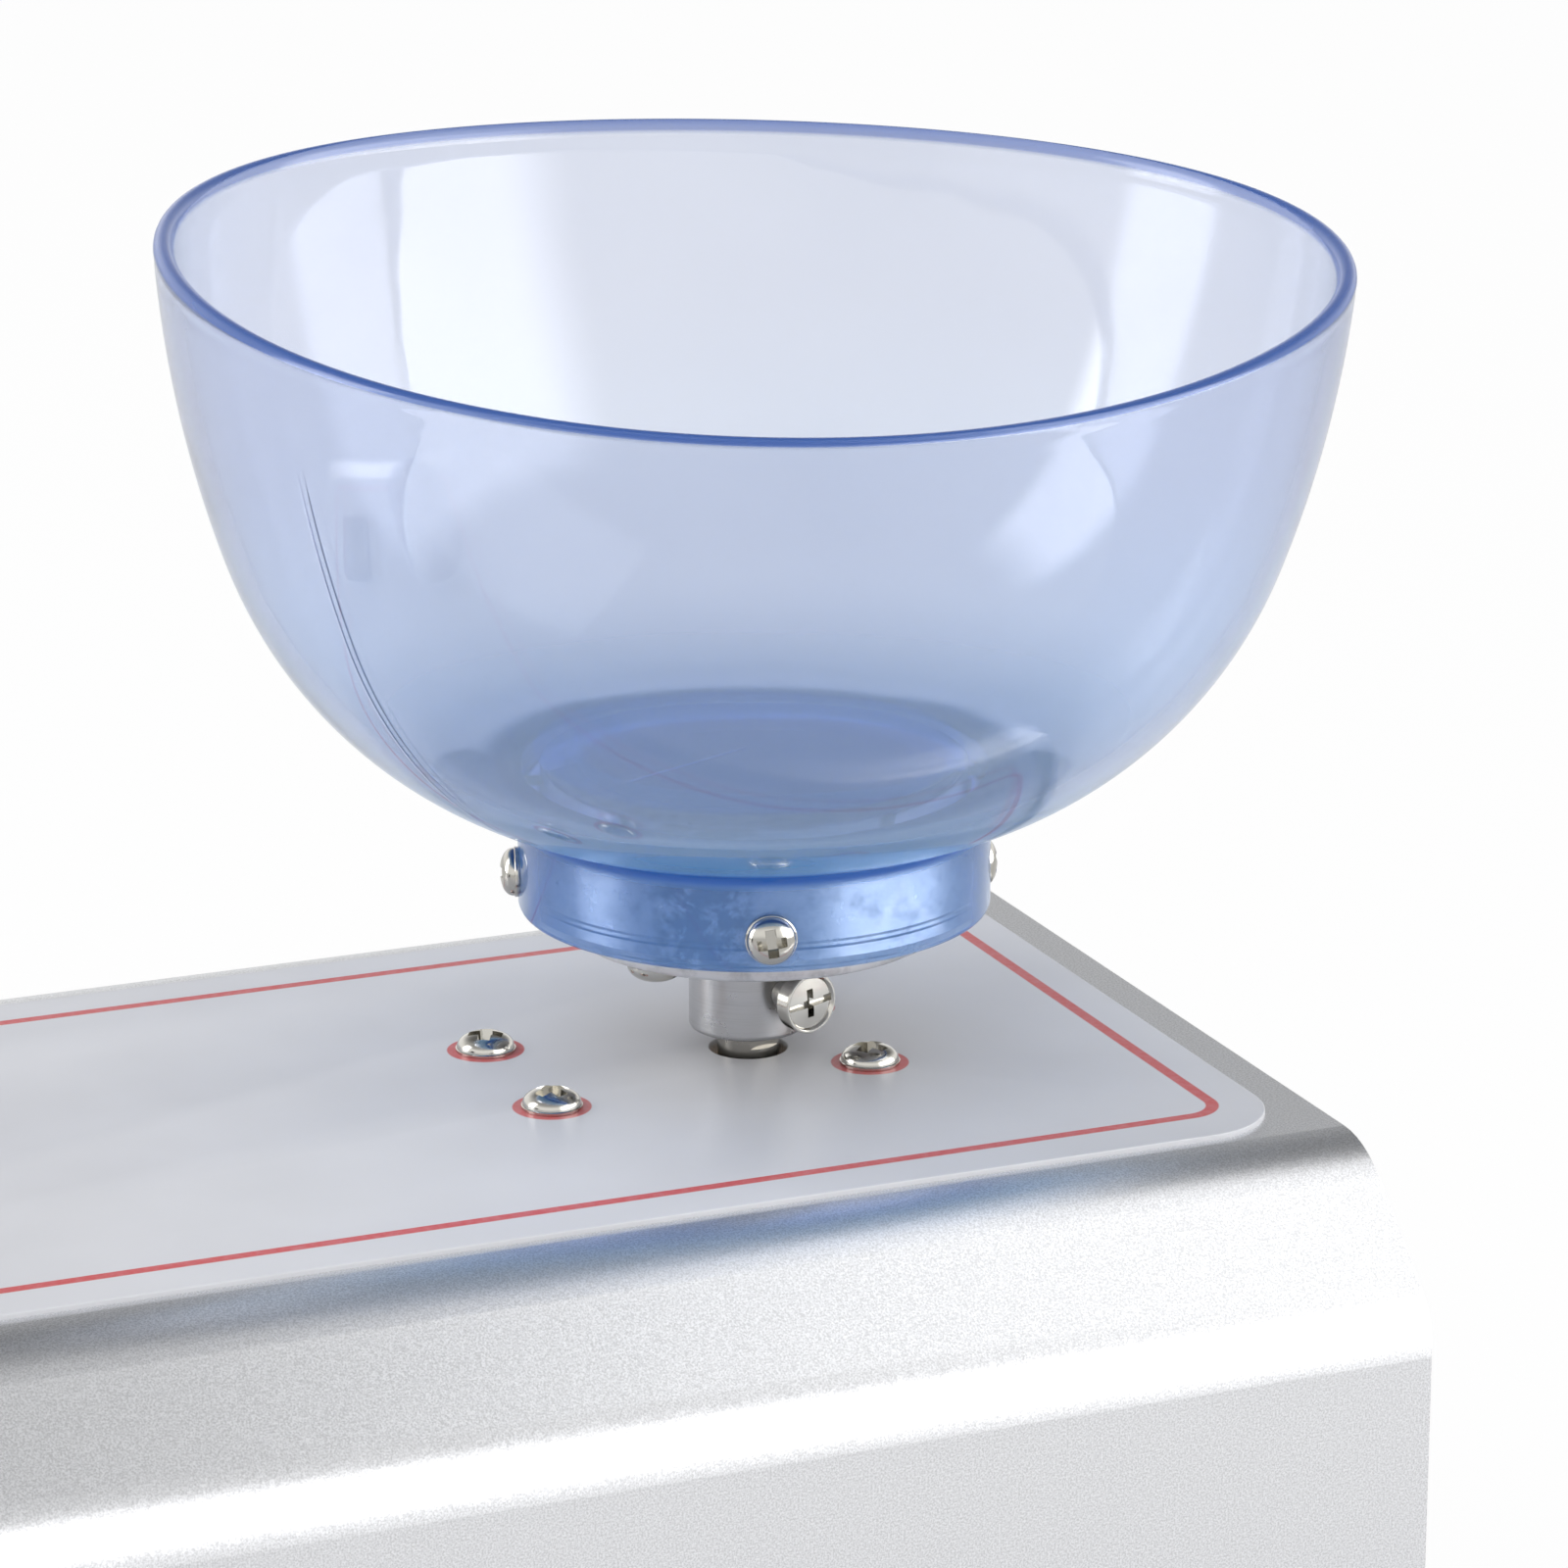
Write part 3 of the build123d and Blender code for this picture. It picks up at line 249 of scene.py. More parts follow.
def mixColor(tree, share, a, b):
    made = tree.nodes.new("ShaderNodeMix")
    made.data_type = "RGBA"
    link(tree, share, made.inputs[0])
    link(tree, (*a, 1) if isinstance(a, tuple) else a, made.inputs[6])
    link(tree, (*b, 1) if isinstance(b, tuple) else b, made.inputs[7])
    return made.outputs[2]


def bump(tree, shader, height, strength, distance, after=None):
    made = tree.nodes.new("ShaderNodeBump")
    made.inputs["Strength"].default_value = strength
    made.inputs["Distance"].default_value = distance
    tree.links.new(height, made.inputs["Height"])
    if after:
        tree.links.new(after, made.inputs["Normal"])
    tree.links.new(made.outputs["Normal"], shader.inputs["Normal"])
    return made.outputs["Normal"]


def plainFinish(name, color, roughness, metallic=0.0, grain=900, depth=0.08, spread=0.08, wander=0.12, recessShade=None):
    # a finish with slight unevenness in colour, gloss and surface, and painted shade in recesses
    material, tree, shader = newMaterial(name, color, roughness, metallic)
    place = objectPlace(tree)
    fine = noise(tree, place, grain, 3.0, 0.6)
    broad = noise(tree, place, grain / 14, 2.0, 0.5)
    low = tuple(c * (1 - spread) for c in color)
    high = tuple(min(1.0, c * (1 + spread)) for c in color)
    tone = ramp(tree, broad, [(0.35, low), (0.65, high)])
    if recessShade:
        # painted shade: a darker colour in the recesses, by depth
        tone = mixColor(tree, tagged(tree, "recess"), tone, recessShade)
    tree.links.new(tone, shader.inputs["Base Color"])
    rough = calc(tree, "MULTIPLY_ADD", fine, wander, roughness - wander / 2, clamp=True)
    tree.links.new(rough, shader.inputs["Roughness"])
    bump(tree, shader, fine, depth, 0.0001)
    return material


# Silver powder coat: metal flakes in an orange-peel skin

silver = {"color": (0.745, 0.75, 0.765), "roughness": 0.34, "metallic": 0.92, "peel": 1500, "peelDepth": 0.16,
          "flake": 5200, "flakeSpread": 0.16}


def silverCoat():
    material, tree, shader = newMaterial("silverCoat", silver["color"], silver["roughness"], silver["metallic"])
    place = objectPlace(tree)
    flakes = noise(tree, place, silver["flake"], 1.0, 0.6)
    low = tuple(c * (1 - silver["flakeSpread"]) for c in silver["color"])
    high = tuple(min(1.0, c * (1 + silver["flakeSpread"])) for c in silver["color"])
    tree.links.new(ramp(tree, flakes, [(0.34, low), (0.66, high)]), shader.inputs["Base Color"])
    peel = noise(tree, place, silver["peel"], 2.0, 0.55)
    rough = calc(tree, "MULTIPLY_ADD", peel, 0.10, silver["roughness"] - 0.05)
    tree.links.new(rough, shader.inputs["Roughness"])
    bump(tree, shader, peel, silver["peelDepth"], 0.0001)
    return material


# Printed plate: matt film with a red border line and a red ring round each screw

plate = {"color": (0.675, 0.68, 0.71), "print": (0.60, 0.085, 0.09), "roughness": 0.42, "borderInsetFront": 5.55,
         "borderInsetEnd": 4.85, "borderWidth": 1.25, "borderCorner": 3.4, "discRadius": 3.78, "bevel": 0.14,
         "corner": 8.7}


def printedFilm():
    low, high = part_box("deck_plate")
    screwLow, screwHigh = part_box("deck_screws")
    middle = (low + high) / 2
    half = (high - low) / 2
    material, tree, shader = newMaterial("printedFilm", plate["color"], plate["roughness"])
    corner = plate["borderCorner"] * mm
    reach = Vector((half.x - plate["borderInsetEnd"] * mm - corner, half.y - plate["borderInsetFront"] * mm - corner, 1))
    fromMiddle = vectorCalc(tree, "ABSOLUTE", objectPlace(tree, location=(-middle.x, -middle.y, 0)))
    past = vectorCalc(tree, "SUBTRACT", fromMiddle, reach)
    flat = vectorCalc(tree, "MULTIPLY", vectorCalc(tree, "MAXIMUM", past, (0, 0, 0)), (1, 1, 0))
    pastX, pastY, _ = parts(tree, past)
    inward = calc(tree, "MINIMUM", calc(tree, "MAXIMUM", pastX, pastY), 0.0)
    away = calc(tree, "ADD", calc(tree, "SUBTRACT", vectorCalc(tree, "LENGTH", flat), corner), inward)
    edge = plate["borderWidth"] / 2 * mm
    border = fade(tree, calc(tree, "ABSOLUTE", away), edge + 0.00008, edge - 0.00008)
    screwMiddle = (screwLow + screwHigh) / 2
    screwReach = (screwHigh - screwLow) / 2 - Vector((2.95 * mm, 2.95 * mm, 0))
    fromScrews = vectorCalc(tree, "ABSOLUTE", objectPlace(tree, location=(-screwMiddle.x, -screwMiddle.y, 0)))
    fromScrews = vectorCalc(tree, "SUBTRACT", fromScrews, (screwReach.x, screwReach.y, 0))
    fromScrews = vectorCalc(tree, "LENGTH", vectorCalc(tree, "MULTIPLY", fromScrews, (1, 1, 0)))
    ring = plate["discRadius"] * mm
    discs = fade(tree, fromScrews, ring + 0.00008, ring - 0.00008)
    place = objectPlace(tree)
    ink = noise(tree, place, 1400, 2.0, 0.6)
    printed = calc(tree, "MULTIPLY", calc(tree, "MAXIMUM", border, discs), calc(tree, "MULTIPLY_ADD", ink, 0.3, 0.80),
                   clamp=True)
    tone = ramp(tree, noise(tree, place, 60, 2.0, 0.5),
                [(0.3, tuple(c * 0.97 for c in plate["color"])), (0.7, tuple(c * 1.03 for c in plate["color"]))])
    tree.links.new(mixColor(tree, printed, tone, plate["print"]), shader.inputs["Base Color"])
    fine = noise(tree, place, 5200, 2.0, 0.6)
    tree.links.new(calc(tree, "MULTIPLY_ADD", fine, 0.08, plate["roughness"] - 0.04), shader.inputs["Roughness"])
    bump(tree, shader, fine, 0.05, 0.00005)
    return material


# Bowl plastic: clear blue, slightly milky, darker where it is thick

# The neck, floor and patch milk colours below are painted shade
bowlPlastic = {"milk": (0.46, 0.74, 1.0), "topMilk": (0.48, 0.57, 0.73), "share": 0.155, "thickMilk": (0.24, 0.58, 1.0),
               "thickShare": 0.36, "skirtMilk": (0.15, 0.36, 0.76), "skirtShare": 0.27, "neckShadeMilk": (0.02, 0.12, 0.48), "neckShadeShare": 0.58, "rimMilk": (0.05, 0.13, 0.44),
               "rimShare": 0.54, "floorShadeMilk": (0.10, 0.30, 0.90), "floorShadeShare": 0.20, "shadePatchMilk": (0.10, 0.16, 0.50),
               "shadePatchShare": 0.27, "seamMilk": (0.20, 0.26, 0.62), "absorption": (0.24, 0.42, 0.95), "density": 94.0,
               "roughness": 0.025, "index": 1.46, "seamTurn": -158.0, "seamWidth": 0.30}
# Painted shade on the bowl's floor, where the core's shaded top shows through: a darker round disc and a darker patch
# in it; middle from the spindle and half sizes, in mm
paintedFloorShade = {"middle": (0.1, -0.1), "radius": 21.2, "shadePatchMiddle": (0.6, -3.2), "shadePatchHalf": (18.6, 13.0)}


def inEllipse(tree, place, middle, half, soft):
    # 1 within an ellipse that lies along the photograph's width, in mm; soft is where its edge starts to fade
    turn = radians(view["azimuth"])
    place = vectorCalc(tree, "SUBTRACT", place, (middle[0] * mm, middle[1] * mm, 0))
    across = vectorCalc(tree, "DOT_PRODUCT", place, (cos(turn) / (half[0] * mm), sin(turn) / (half[0] * mm), 0))
    along = vectorCalc(tree, "DOT_PRODUCT", place, (-sin(turn) / (half[1] * mm), cos(turn) / (half[1] * mm), 0))
    reach = calc(tree, "SQRT", calc(tree, "MULTIPLY_ADD", across, across, calc(tree, "MULTIPLY", along, along)))
    return fade(tree, reach, 1.0, soft)


def bowlSkin():
    material, tree, clear = newMaterial("bluePlastic", (1, 1, 1), bowlPlastic["roughness"])
    clear.inputs["Transmission Weight"].default_value = 1.0
    clear.inputs["IOR"].default_value = bowlPlastic["index"]
    milk = tree.nodes.new("ShaderNodeBsdfPrincipled")
    milk.inputs["Roughness"].default_value = 0.25
    place = objectPlace(tree)
    wave = noise(tree, place, 38, 2.0, 0.5)
    bump(tree, clear, wave, 0.14, 0.0006)
    bump(tree, milk, wave, 0.14, 0.0006)
    mixed = tree.nodes.new("ShaderNodeMixShader")
    cloud = calc(tree, "MULTIPLY_ADD", noise(tree, place, 25, 2.0, 0.5), 0.10, bowlPlastic["share"] - 0.05)
    turn = radians(bowlPlastic["seamTurn"])
    fromSpindle = objectPlace(tree, location=(-spindle.x, -spindle.y, 0))
    aside = vectorCalc(tree, "DOT_PRODUCT", fromSpindle, (sin(turn), -cos(turn), 0))
    along = vectorCalc(tree, "DOT_PRODUCT", fromSpindle, (cos(turn), sin(turn), 0))
    line = fade(tree, calc(tree, "ABSOLUTE", aside), bowlPlastic["seamWidth"] * mm, 0.00002)
    height = parts(tree, place)[2]
    line = calc(tree, "MULTIPLY", line, fade(tree, along, 0.0, 0.001))
    line = calc(tree, "MULTIPLY", line, fade(tree, height, plateTop + 26 * mm, plateTop + 28 * mm))
    line = calc(tree, "MULTIPLY", line, fade(tree, height, plateTop + 70 * mm, plateTop + 60 * mm))
    rim, outer = tagged(tree, "rim"), tagged(tree, "outer")
    # painted shade on the inside of the floor: a darker disc and a darker patch in it
    floor = calc(tree, "MULTIPLY", fade(tree, height, plateTop + 30.6 * mm, plateTop + 30.2 * mm),
                 calc(tree, "SUBTRACT", 1.0, outer))
    disc = calc(tree, "MULTIPLY", floor, inEllipse(tree, fromSpindle, paintedFloorShade["middle"], (paintedFloorShade["radius"],) * 2, 0.985))
    paintedShadePatch = calc(tree, "MULTIPLY", disc, inEllipse(tree, fromSpindle, paintedFloorShade["shadePatchMiddle"], paintedFloorShade["shadePatchHalf"], 0.93))
    skirt = fade(tree, height, plateTop + 24.4 * mm, plateTop + 23.8 * mm)
    thick = calc(tree, "SUBTRACT", fade(tree, height, plateTop + 37 * mm, plateTop + 27 * mm), skirt)
    thick, skirt = calc(tree, "MULTIPLY", thick, outer), calc(tree, "MULTIPLY", skirt, outer)
    # painted shade: a dark band round the outside where the skirt meets the belly, for the shadow in that inner corner
    neckShadeBand = calc(tree, "MULTIPLY", fade(tree, height, plateTop + 22.9 * mm, plateTop + 24.1 * mm),
                fade(tree, height, plateTop + 26.3 * mm, plateTop + 25.0 * mm))
    neckShadeBand = calc(tree, "MULTIPLY", neckShadeBand, outer)
    top = fade(tree, height, plateTop + 40 * mm, plateTop + 68 * mm)
    milkColor = mixColor(tree, top, bowlPlastic["milk"], bowlPlastic["topMilk"])
    for share, added, color in ((thick, "thickShare", "thickMilk"), (skirt, "skirtShare", "skirtMilk"), (neckShadeBand, "neckShadeShare", "neckShadeMilk"),
                                (rim, "rimShare", "rimMilk"), (disc, "floorShadeShare", "floorShadeMilk"),
                                (paintedShadePatch, "shadePatchShare", "shadePatchMilk")):
        cloud = calc(tree, "MULTIPLY_ADD", share, bowlPlastic[added], cloud)
        milkColor = mixColor(tree, share, milkColor, bowlPlastic[color])
    cloud = calc(tree, "MULTIPLY_ADD", line, 0.16, cloud, clamp=True)
    tree.links.new(mixColor(tree, line, milkColor, bowlPlastic["seamMilk"]), milk.inputs["Base Color"])
    for shader in (clear, milk):
        bump(tree, shader, line, 0.30, 0.0002, shader.inputs["Normal"].links[0].from_socket)
    link(tree, cloud, mixed.inputs["Fac"])
    tree.links.new(clear.outputs["BSDF"], mixed.inputs[1])
    tree.links.new(milk.outputs["BSDF"], mixed.inputs[2])
    output = tree.nodes["Material Output"]
    tree.links.new(mixed.outputs["Shader"], output.inputs["Surface"])
    absorption = tree.nodes.new("ShaderNodeVolumeAbsorption")
    absorption.inputs["Color"].default_value = (*bowlPlastic["absorption"], 1)
    absorption.inputs["Density"].default_value = bowlPlastic["density"]
    tree.links.new(absorption.outputs["Volume"], output.inputs["Volume"])
    return material


# Turned metal: fine rings round the spindle

turned = {"color": (0.46, 0.46, 0.465), "roughness": 0.30, "rings": 3800, "ringDepth": 0.22}


# Painted shade on the core seen through the skirt: a painted dark reflection down one side (turn, width, core,
# strength), painted shade over the whole top (topShade) and a darker painted shade patch on the top, off the axis
# (topInner, topOuter, topAside, topStrength)
coreShadePaint = {"turn": -126.0, "width": 0.966, "core": 0.993, "strength": 0.80, "topInner": 13.6, "topOuter": 15.0,
          "topAside": (4.4, -1.9), "topShade": 0.28, "topStrength": 0.22}


def smudged(tree, tone, blotch):
    # painted shade on the core: a painted dark reflection down its side, painted shade over its top and a darker
    # painted shade patch on the top
    middle = spindle + collarShift * mm
    fromAxis = vectorCalc(tree, "MULTIPLY", objectPlace(tree, location=(-middle.x, -middle.y, 0)), (1, 1, 0))
    turn = radians(coreShadePaint["turn"])
    toward = vectorCalc(tree, "DOT_PRODUCT", vectorCalc(tree, "NORMALIZE", fromAxis), (cos(turn), sin(turn), 0))
    # the painted dark reflection down one side, broken up by the blotch noise
    mark = calc(tree, "MULTIPLY", fade(tree, toward, coreShadePaint["width"], coreShadePaint["core"]), fade(tree, blotch, 0.36, 0.56))
    height = parts(tree, objectPlace(tree))[2]
    top = fade(tree, height, plateTop + 24.5 * mm, plateTop + 24.7 * mm)
    side = calc(tree, "SUBTRACT", 1.0, top)
    aside = Vector((*coreShadePaint["topAside"], 0)) * mm
    reach = vectorCalc(tree, "LENGTH", vectorCalc(tree, "SUBTRACT", fromAxis, aside))
    # the darker painted shade patch on the core's top, off the axis
    paintedShadePatch = calc(tree, "MULTIPLY", fade(tree, reach, coreShadePaint["topOuter"] * mm, coreShadePaint["topInner"] * mm), top)
    tone = calc(tree, "SUBTRACT", tone, calc(tree, "MULTIPLY", calc(tree, "MULTIPLY", mark, side), coreShadePaint["strength"]))
    # painted shade over the whole top of the core
    tone = calc(tree, "SUBTRACT", tone, calc(tree, "MULTIPLY", top, coreShadePaint["topShade"]))
    return calc(tree, "SUBTRACT", tone, calc(tree, "MULTIPLY", paintedShadePatch, coreShadePaint["topStrength"]), clamp=True)


def turnedMetal(name, color, roughness, rings, depth, mottle=0.0, withPaintedShade=False):
    material, tree, shader = newMaterial(name, color, roughness, 1.0)
    lines = noise(tree, objectPlace(tree, scale=(90, 90, rings)), 1.0, 3.0, 0.75)
    blotch = noise(tree, objectPlace(tree), 340, 5.0, 0.7, 0.3)
    tone = calc(tree, "MULTIPLY_ADD", lines, 0.35, 0.62)
    tone = calc(tree, "SUBTRACT", tone, calc(tree, "MULTIPLY", fade(tree, blotch, 0.45, 0.70), mottle), clamp=True)
    # painted shade on the core only, see above
    if withPaintedShade:
        tone = smudged(tree, tone, blotch)
    tree.links.new(ramp(tree, tone, [(0.0, tuple(c * 0.15 for c in color)), (0.8, color)]), shader.inputs["Base Color"])
    rough = calc(tree, "MULTIPLY_ADD", blotch, 0.25, roughness - 0.12, clamp=True)
    tree.links.new(rough, shader.inputs["Roughness"])
    bump(tree, shader, lines, depth, 0.00008)
    return material


finishes = {
    "silver": silverCoat(),
    "film": printedFilm(),
    "bowl": bowlSkin(),
    # the nickel's last colour is the painted shade in the screw recesses
    "nickel": plainFinish("nickelPlate", (0.50, 0.485, 0.445), 0.15, 1.0, 1400, 0.05, 0.04, 0.06, (0.05, 0.045, 0.03)),
    "zinc": plainFinish("zincPlate", (0.62, 0.63, 0.64), 0.30, 1.0, 1200, 0.08),
    "hub": turnedMetal("turnedHub", turned["color"], turned["roughness"], turned["rings"], turned["ringDepth"]),
    "core": turnedMetal("turnedCore", (0.62, 0.72, 0.82), 0.30, 2600, 0.12, 0.35, True),
    "disc": turnedMetal("turnedDisc", (0.62, 0.62, 0.63), 0.38, 2600, 0.18, 0.25),
    "shaft": turnedMetal("groundShaft", (0.34, 0.325, 0.295), 0.24, 1800, 0.06),
    "aluminium": plainFinish("extrudedAluminium", (0.80, 0.80, 0.81), 0.30, 1.0, 900, 0.10),
    "rubber": plainFinish("footRubber", (0.028, 0.028, 0.030), 0.75, 0.0, 2200, 0.25),
    "black": plainFinish("blackMoulding", (0.022, 0.022, 0.024), 0.46, 0.0, 2600, 0.15),
    "gloss": plainFinish("glossMoulding", (0.020, 0.020, 0.022), 0.22, 0.0, 2600, 0.05),
    "white": plainFinish("whitePaint", (0.82, 0.82, 0.82), 0.5, 0.0, 1500, 0.05, 0.03),
    "bronze": plainFinish("oiledBronze", (0.16, 0.10, 0.05), 0.4, 1.0),
    "brass": plainFinish("machinedBrass", (0.72, 0.55, 0.24), 0.28, 1.0),
    "copper": plainFinish("enamelledCopper", (0.55, 0.22, 0.09), 0.32, 1.0),
    "cast": plainFinish("castZinc", (0.46, 0.47, 0.48), 0.48, 1.0, 700, 0.25),
    "dark": plainFinish("darkCeramic", (0.06, 0.06, 0.065), 0.6),
    "board": plainFinish("boardLaminate", (0.03, 0.20, 0.08), 0.32),
    "green": plainFinish("greenMoulding", (0.05, 0.32, 0.13), 0.42),
    "sleeve": plainFinish("capacitorSleeve", (0.03, 0.04, 0.14), 0.3),
    "red": plainFinish("redInsulation", (0.55, 0.03, 0.02), 0.4),
    "blue": plainFinish("blueInsulation", (0.04, 0.09, 0.45), 0.4),
    "yellow": plainFinish("yellowInsulation", (0.70, 0.48, 0.04), 0.4),
    "ink": plainFinish("darkInk", (0.035, 0.035, 0.04), 0.5, 0.0, 2000, 0.04),
}
finishOfSlot = {
    "silver_paint": "silver", "tray_paint": "silver", "nickel": "nickel", "zinc": "zinc", "rubber": "rubber",
    "printed_plate": "film", "shaft_steel": "shaft", "turned_steel": "hub", "aluminium": "aluminium",
    "blue_plastic": "bowl", "zinc_casting": "cast", "bronze": "bronze", "gear_metal": "zinc",
    "brass": "brass", "motor_steel": "zinc", "magnet": "dark", "copper": "copper", "carbon": "dark",
    "black_plastic": "black", "white_plastic": "white", "switch_plastic": "gloss", "board_laminate": "board",
    "capacitor_sleeve": "sleeve", "green_plastic": "green", "wire_red": "red", "wire_black": "black",
    "wire_blue": "blue", "wire_yellow": "yellow",
}
for subpart in frame["record"]["subparts"]:
    node = frame["nodes"][subpart["node"]]
    node.data.materials.clear()
    node.data.materials.append(finishes[finishOfSlot[subpart["material_slot"]]])
print("materials made")


# Bowl

bowl = {"skirtRadius": 22.9, "skirtWall": 1.9, "skirtBottom": 15.0, "seat": 25.0, "shoulder": 24.4, "floor": 30.0,
        "startAngle": 16.7, "sweep": 53.65, "bellyRadius": 41.9, "flankRadius": 99.3, "wall": 1.9, "floorBlend": 12.0,
        "rimHeight": 77.82, "steps": 180}


def rimReach(angle):
    # the soft rim's distance from the axis, by direction
    return 56.93 + 0.69 * cos(2 * angle) + 1.06 * sin(2 * angle) + 1.37 * cos(3 * angle) - 0.47 * sin(3 * angle)


def rimLevel(angle):
    return 77.82 - 0.87 * cos(angle) + 3.74 * sin(angle) + 0.81 * cos(2 * angle) - 0.11 * sin(2 * angle)


def bowlOutline():
    # from the skirt's foot up the outside, over the rim and down the inside
    b = bowl
    start, end = b["startAngle"], b["startAngle"] + b["sweep"]
    belly = (b["skirtRadius"] - b["bellyRadius"] * sin(radians(start)),
             b["shoulder"] + b["bellyRadius"] * cos(radians(start)))
    flank = (belly[0] + (b["bellyRadius"] - b["flankRadius"]) * sin(radians(end)),
             belly[1] + (b["flankRadius"] - b["bellyRadius"]) * cos(radians(end)))
    rimAngle = degrees(atan2(b["rimHeight"] - flank[1], b["flankRadius"]))
    inner = b["skirtRadius"] - b["skirtWall"]
    innerBelly, innerFlank = b["bellyRadius"] - b["wall"], b["flankRadius"] - b["wall"]
    outside = arcPoints(belly, b["bellyRadius"], start - 90, end - 90, 28)
    outside += arcPoints(flank, b["flankRadius"], end - 90, rimAngle, 24)[1:]
    inside = arcPoints(flank, innerFlank, rimAngle, end - 90, 24)
    blendRise = belly[1] - b["floor"] - b["floorBlend"]
    blendReach = sqrt((innerBelly - b["floorBlend"]) ** 2 - blendRise ** 2)
    blendAngle = -degrees(atan2(blendRise, blendReach))
    inside += arcPoints(belly, innerBelly, end - 90, blendAngle, 24)[1:]
    inside += arcPoints((belly[0] + blendReach, b["floor"] + b["floorBlend"]), b["floorBlend"], blendAngle, -90, 12)[1:]
    middle = ((outside[-1][0] + inside[0][0]) / 2, outside[-1][1])
    crown = arcPoints(middle, b["wall"] / 2, 0, 180, 10)[1:-1]
    outside.insert(-1, (outside[-1][0] - 0.09, outside[-1][1] - 0.5))
    inside.insert(1, (inside[0][0] - 0.09, inside[0][1] - 0.5))
    low, high, side = b["skirtBottom"], b["seat"], b["skirtRadius"]
    foot = [(0, high), (inner * 0.5, high), (inner - 0.2, high), (inner, high - 0.2), (inner, low + 0.3),
            (inner + 0.3, low), (side - 0.45, low), (side - 0.13, low + 0.13), (side, low + 0.45),
            (side, b["shoulder"] - 0.8), (side + 0.12, b["shoulder"] - 0.28)]
    outline = foot + outside[1:] + crown + inside + [(12, b["floor"]), (0, b["floor"])]
    outer = [0.0] * 6 + [1.0] * (len(foot) - 6 + len(outside) - 1 + len(crown) // 2)
    outer += [0.0] * (len(outline) - len(outer))
    rim = [1.0 if z > b["rimHeight"] + 0.1 else 0.0 for _, z in outline]
    return outline, outside[-1][0], (("outer", outer), ("rim", rim))


def makeBowl():
    outline, reachAtRim, tags = bowlOutline()
    bm = spinProfile(outline, bowl["steps"], tags)
    for v in bm.verts:
        angle = atan2(v.co.y, v.co.x)
        reach = v.co.to_2d().length
        share = max(0.0, (v.co.z - bowl["shoulder"]) / (bowl["rimHeight"] - bowl["shoulder"]))
        lift = share ** 1.6
        if reach > 1:
            grown = 1 + (rimReach(angle) - reachAtRim) * lift / reach
            v.co.x *= grown
            v.co.y *= grown
        v.co.z += (rimLevel(angle) - bowl["rimHeight"]) * lift
        v.co += collarShift * max(0.0, 1 - share)
    bowlPiece = newObject(bm, "softBowl")
    bowlPiece.data.transform(atSpindle)
    finishPiece(bowlPiece, finishes["bowl"], "bowl_head", ["bowl"], 60)


makeBowl()
print("bowl made")


# Screws: domed nickel pan heads with a thin flange and a cross recess

panHead = {"flange": 0.34, "lip": 0.12, "crossWidth": 0.23, "crossLength": 0.72, "crossDepth": 0.62}


def tagRecess(head, depthAt, fullDepth):
    # stores how deep each vertex lies under the head's surface, for the painted shade in the recess
    layer = head.data.attributes.new("recess", "FLOAT", "POINT")
    for v, value in zip(head.data.vertices, layer.data):
        value.value = min(1.0, max(0.0, depthAt(v.co) / fullDepth))


def screwShape(name, headRadius, headHeight, shankRadius, shankLength, seatDepth=0.0):
    s = panHead
    dome = []
    for k in range(13):
        a = radians(90 * k / 12)
        dome.append((headRadius * 0.955 * sin(a) ** 0.95, s["flange"] + (headHeight - s["flange"]) * cos(a) ** 0.85))
    dome[0] = (0, headHeight)
    dome[-1] = (headRadius * 0.955, s["flange"] + 0.02)
    rim = [(headRadius - s["lip"] / 2, s["flange"]), (headRadius, s["flange"] - s["lip"] / 2), (headRadius, 0.04),
           (headRadius - 0.04, -seatDepth)]
    shank = [(shankRadius, -seatDepth), (shankRadius, 0.2 - shankLength), (shankRadius - 0.2, -shankLength), (0, -shankLength)]
    head = newObject(spinProfile(dome + rim + shank, 56), name)
    length, width, depth = (s[k] * 2 * headRadius for k in ("crossLength", "crossWidth", "crossDepth"))
    depth = min(depth, 0.85 * headHeight)
    for turn in (0, 90):
        cutter = blockShape((length, width, depth * 1.5), (0, 0, headHeight - depth + depth * 0.75), (0.52, 0.76))
        bmesh.ops.rotate(cutter, cent=(0, 0, 0), matrix=Matrix.Rotation(radians(turn), 3, "Z"), verts=cutter.verts)
        cutAway(head, newObject(cutter, "cutter"))

    def depthAt(spot):
        if spot.z < s["flange"] or spot.to_2d().length > 0.8 * headRadius:
            return 0.0
        share = min(1.0, spot.to_2d().length / (headRadius * 0.955))
        return s["flange"] + (headHeight - s["flange"]) * sqrt(1 - share ** 2) - spot.z - 0.1

    # tags the cross recess for the painted shade in it
    tagRecess(head, depthAt, 0.2)
    return head


def deckScrewPlaces():
    low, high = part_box("deck_screws")
    half = 2.95 * mm
    turns = {(0, 0): 20, (0, 1): 62, (1, 0): 38, (1, 1): 5}
    for (i, j), turn in turns.items():
        x = high.x - half if i else low.x + half
        y = high.y - half if j else low.y + half
        place = Matrix.Translation((x, y, plateTop)) @ Matrix.Scale(mm, 4)
        yield place @ Matrix.Rotation(radians(turn), 4, "Z")


def outFrom(turn, reach, height, spin=0.0):
    # a place on a ring round the spindle, with +Z pointing out of it
    place = Matrix.Translation(collarShift) @ Matrix.Rotation(radians(turn), 4, "Z")
    place = place @ Matrix.Translation((reach, 0, height)) @ Matrix.Rotation(radians(90), 4, "Y")
    return atSpindle @ place @ Matrix.Rotation(radians(spin), 4, "Z")


collar = {"bowlScrewTurn": -108.8, "bowlScrewHeight": 18.4, "carrierScrewTurn": -155.0, "carrierScrewCircle": 14.0,
          "bowlScrewSunk": (0.0, 1.0, 0.4, 0.0), "discBottom": 12.45, "discRadius": 18.0, "discTop": 15.4, "coreRadius": 20.95}


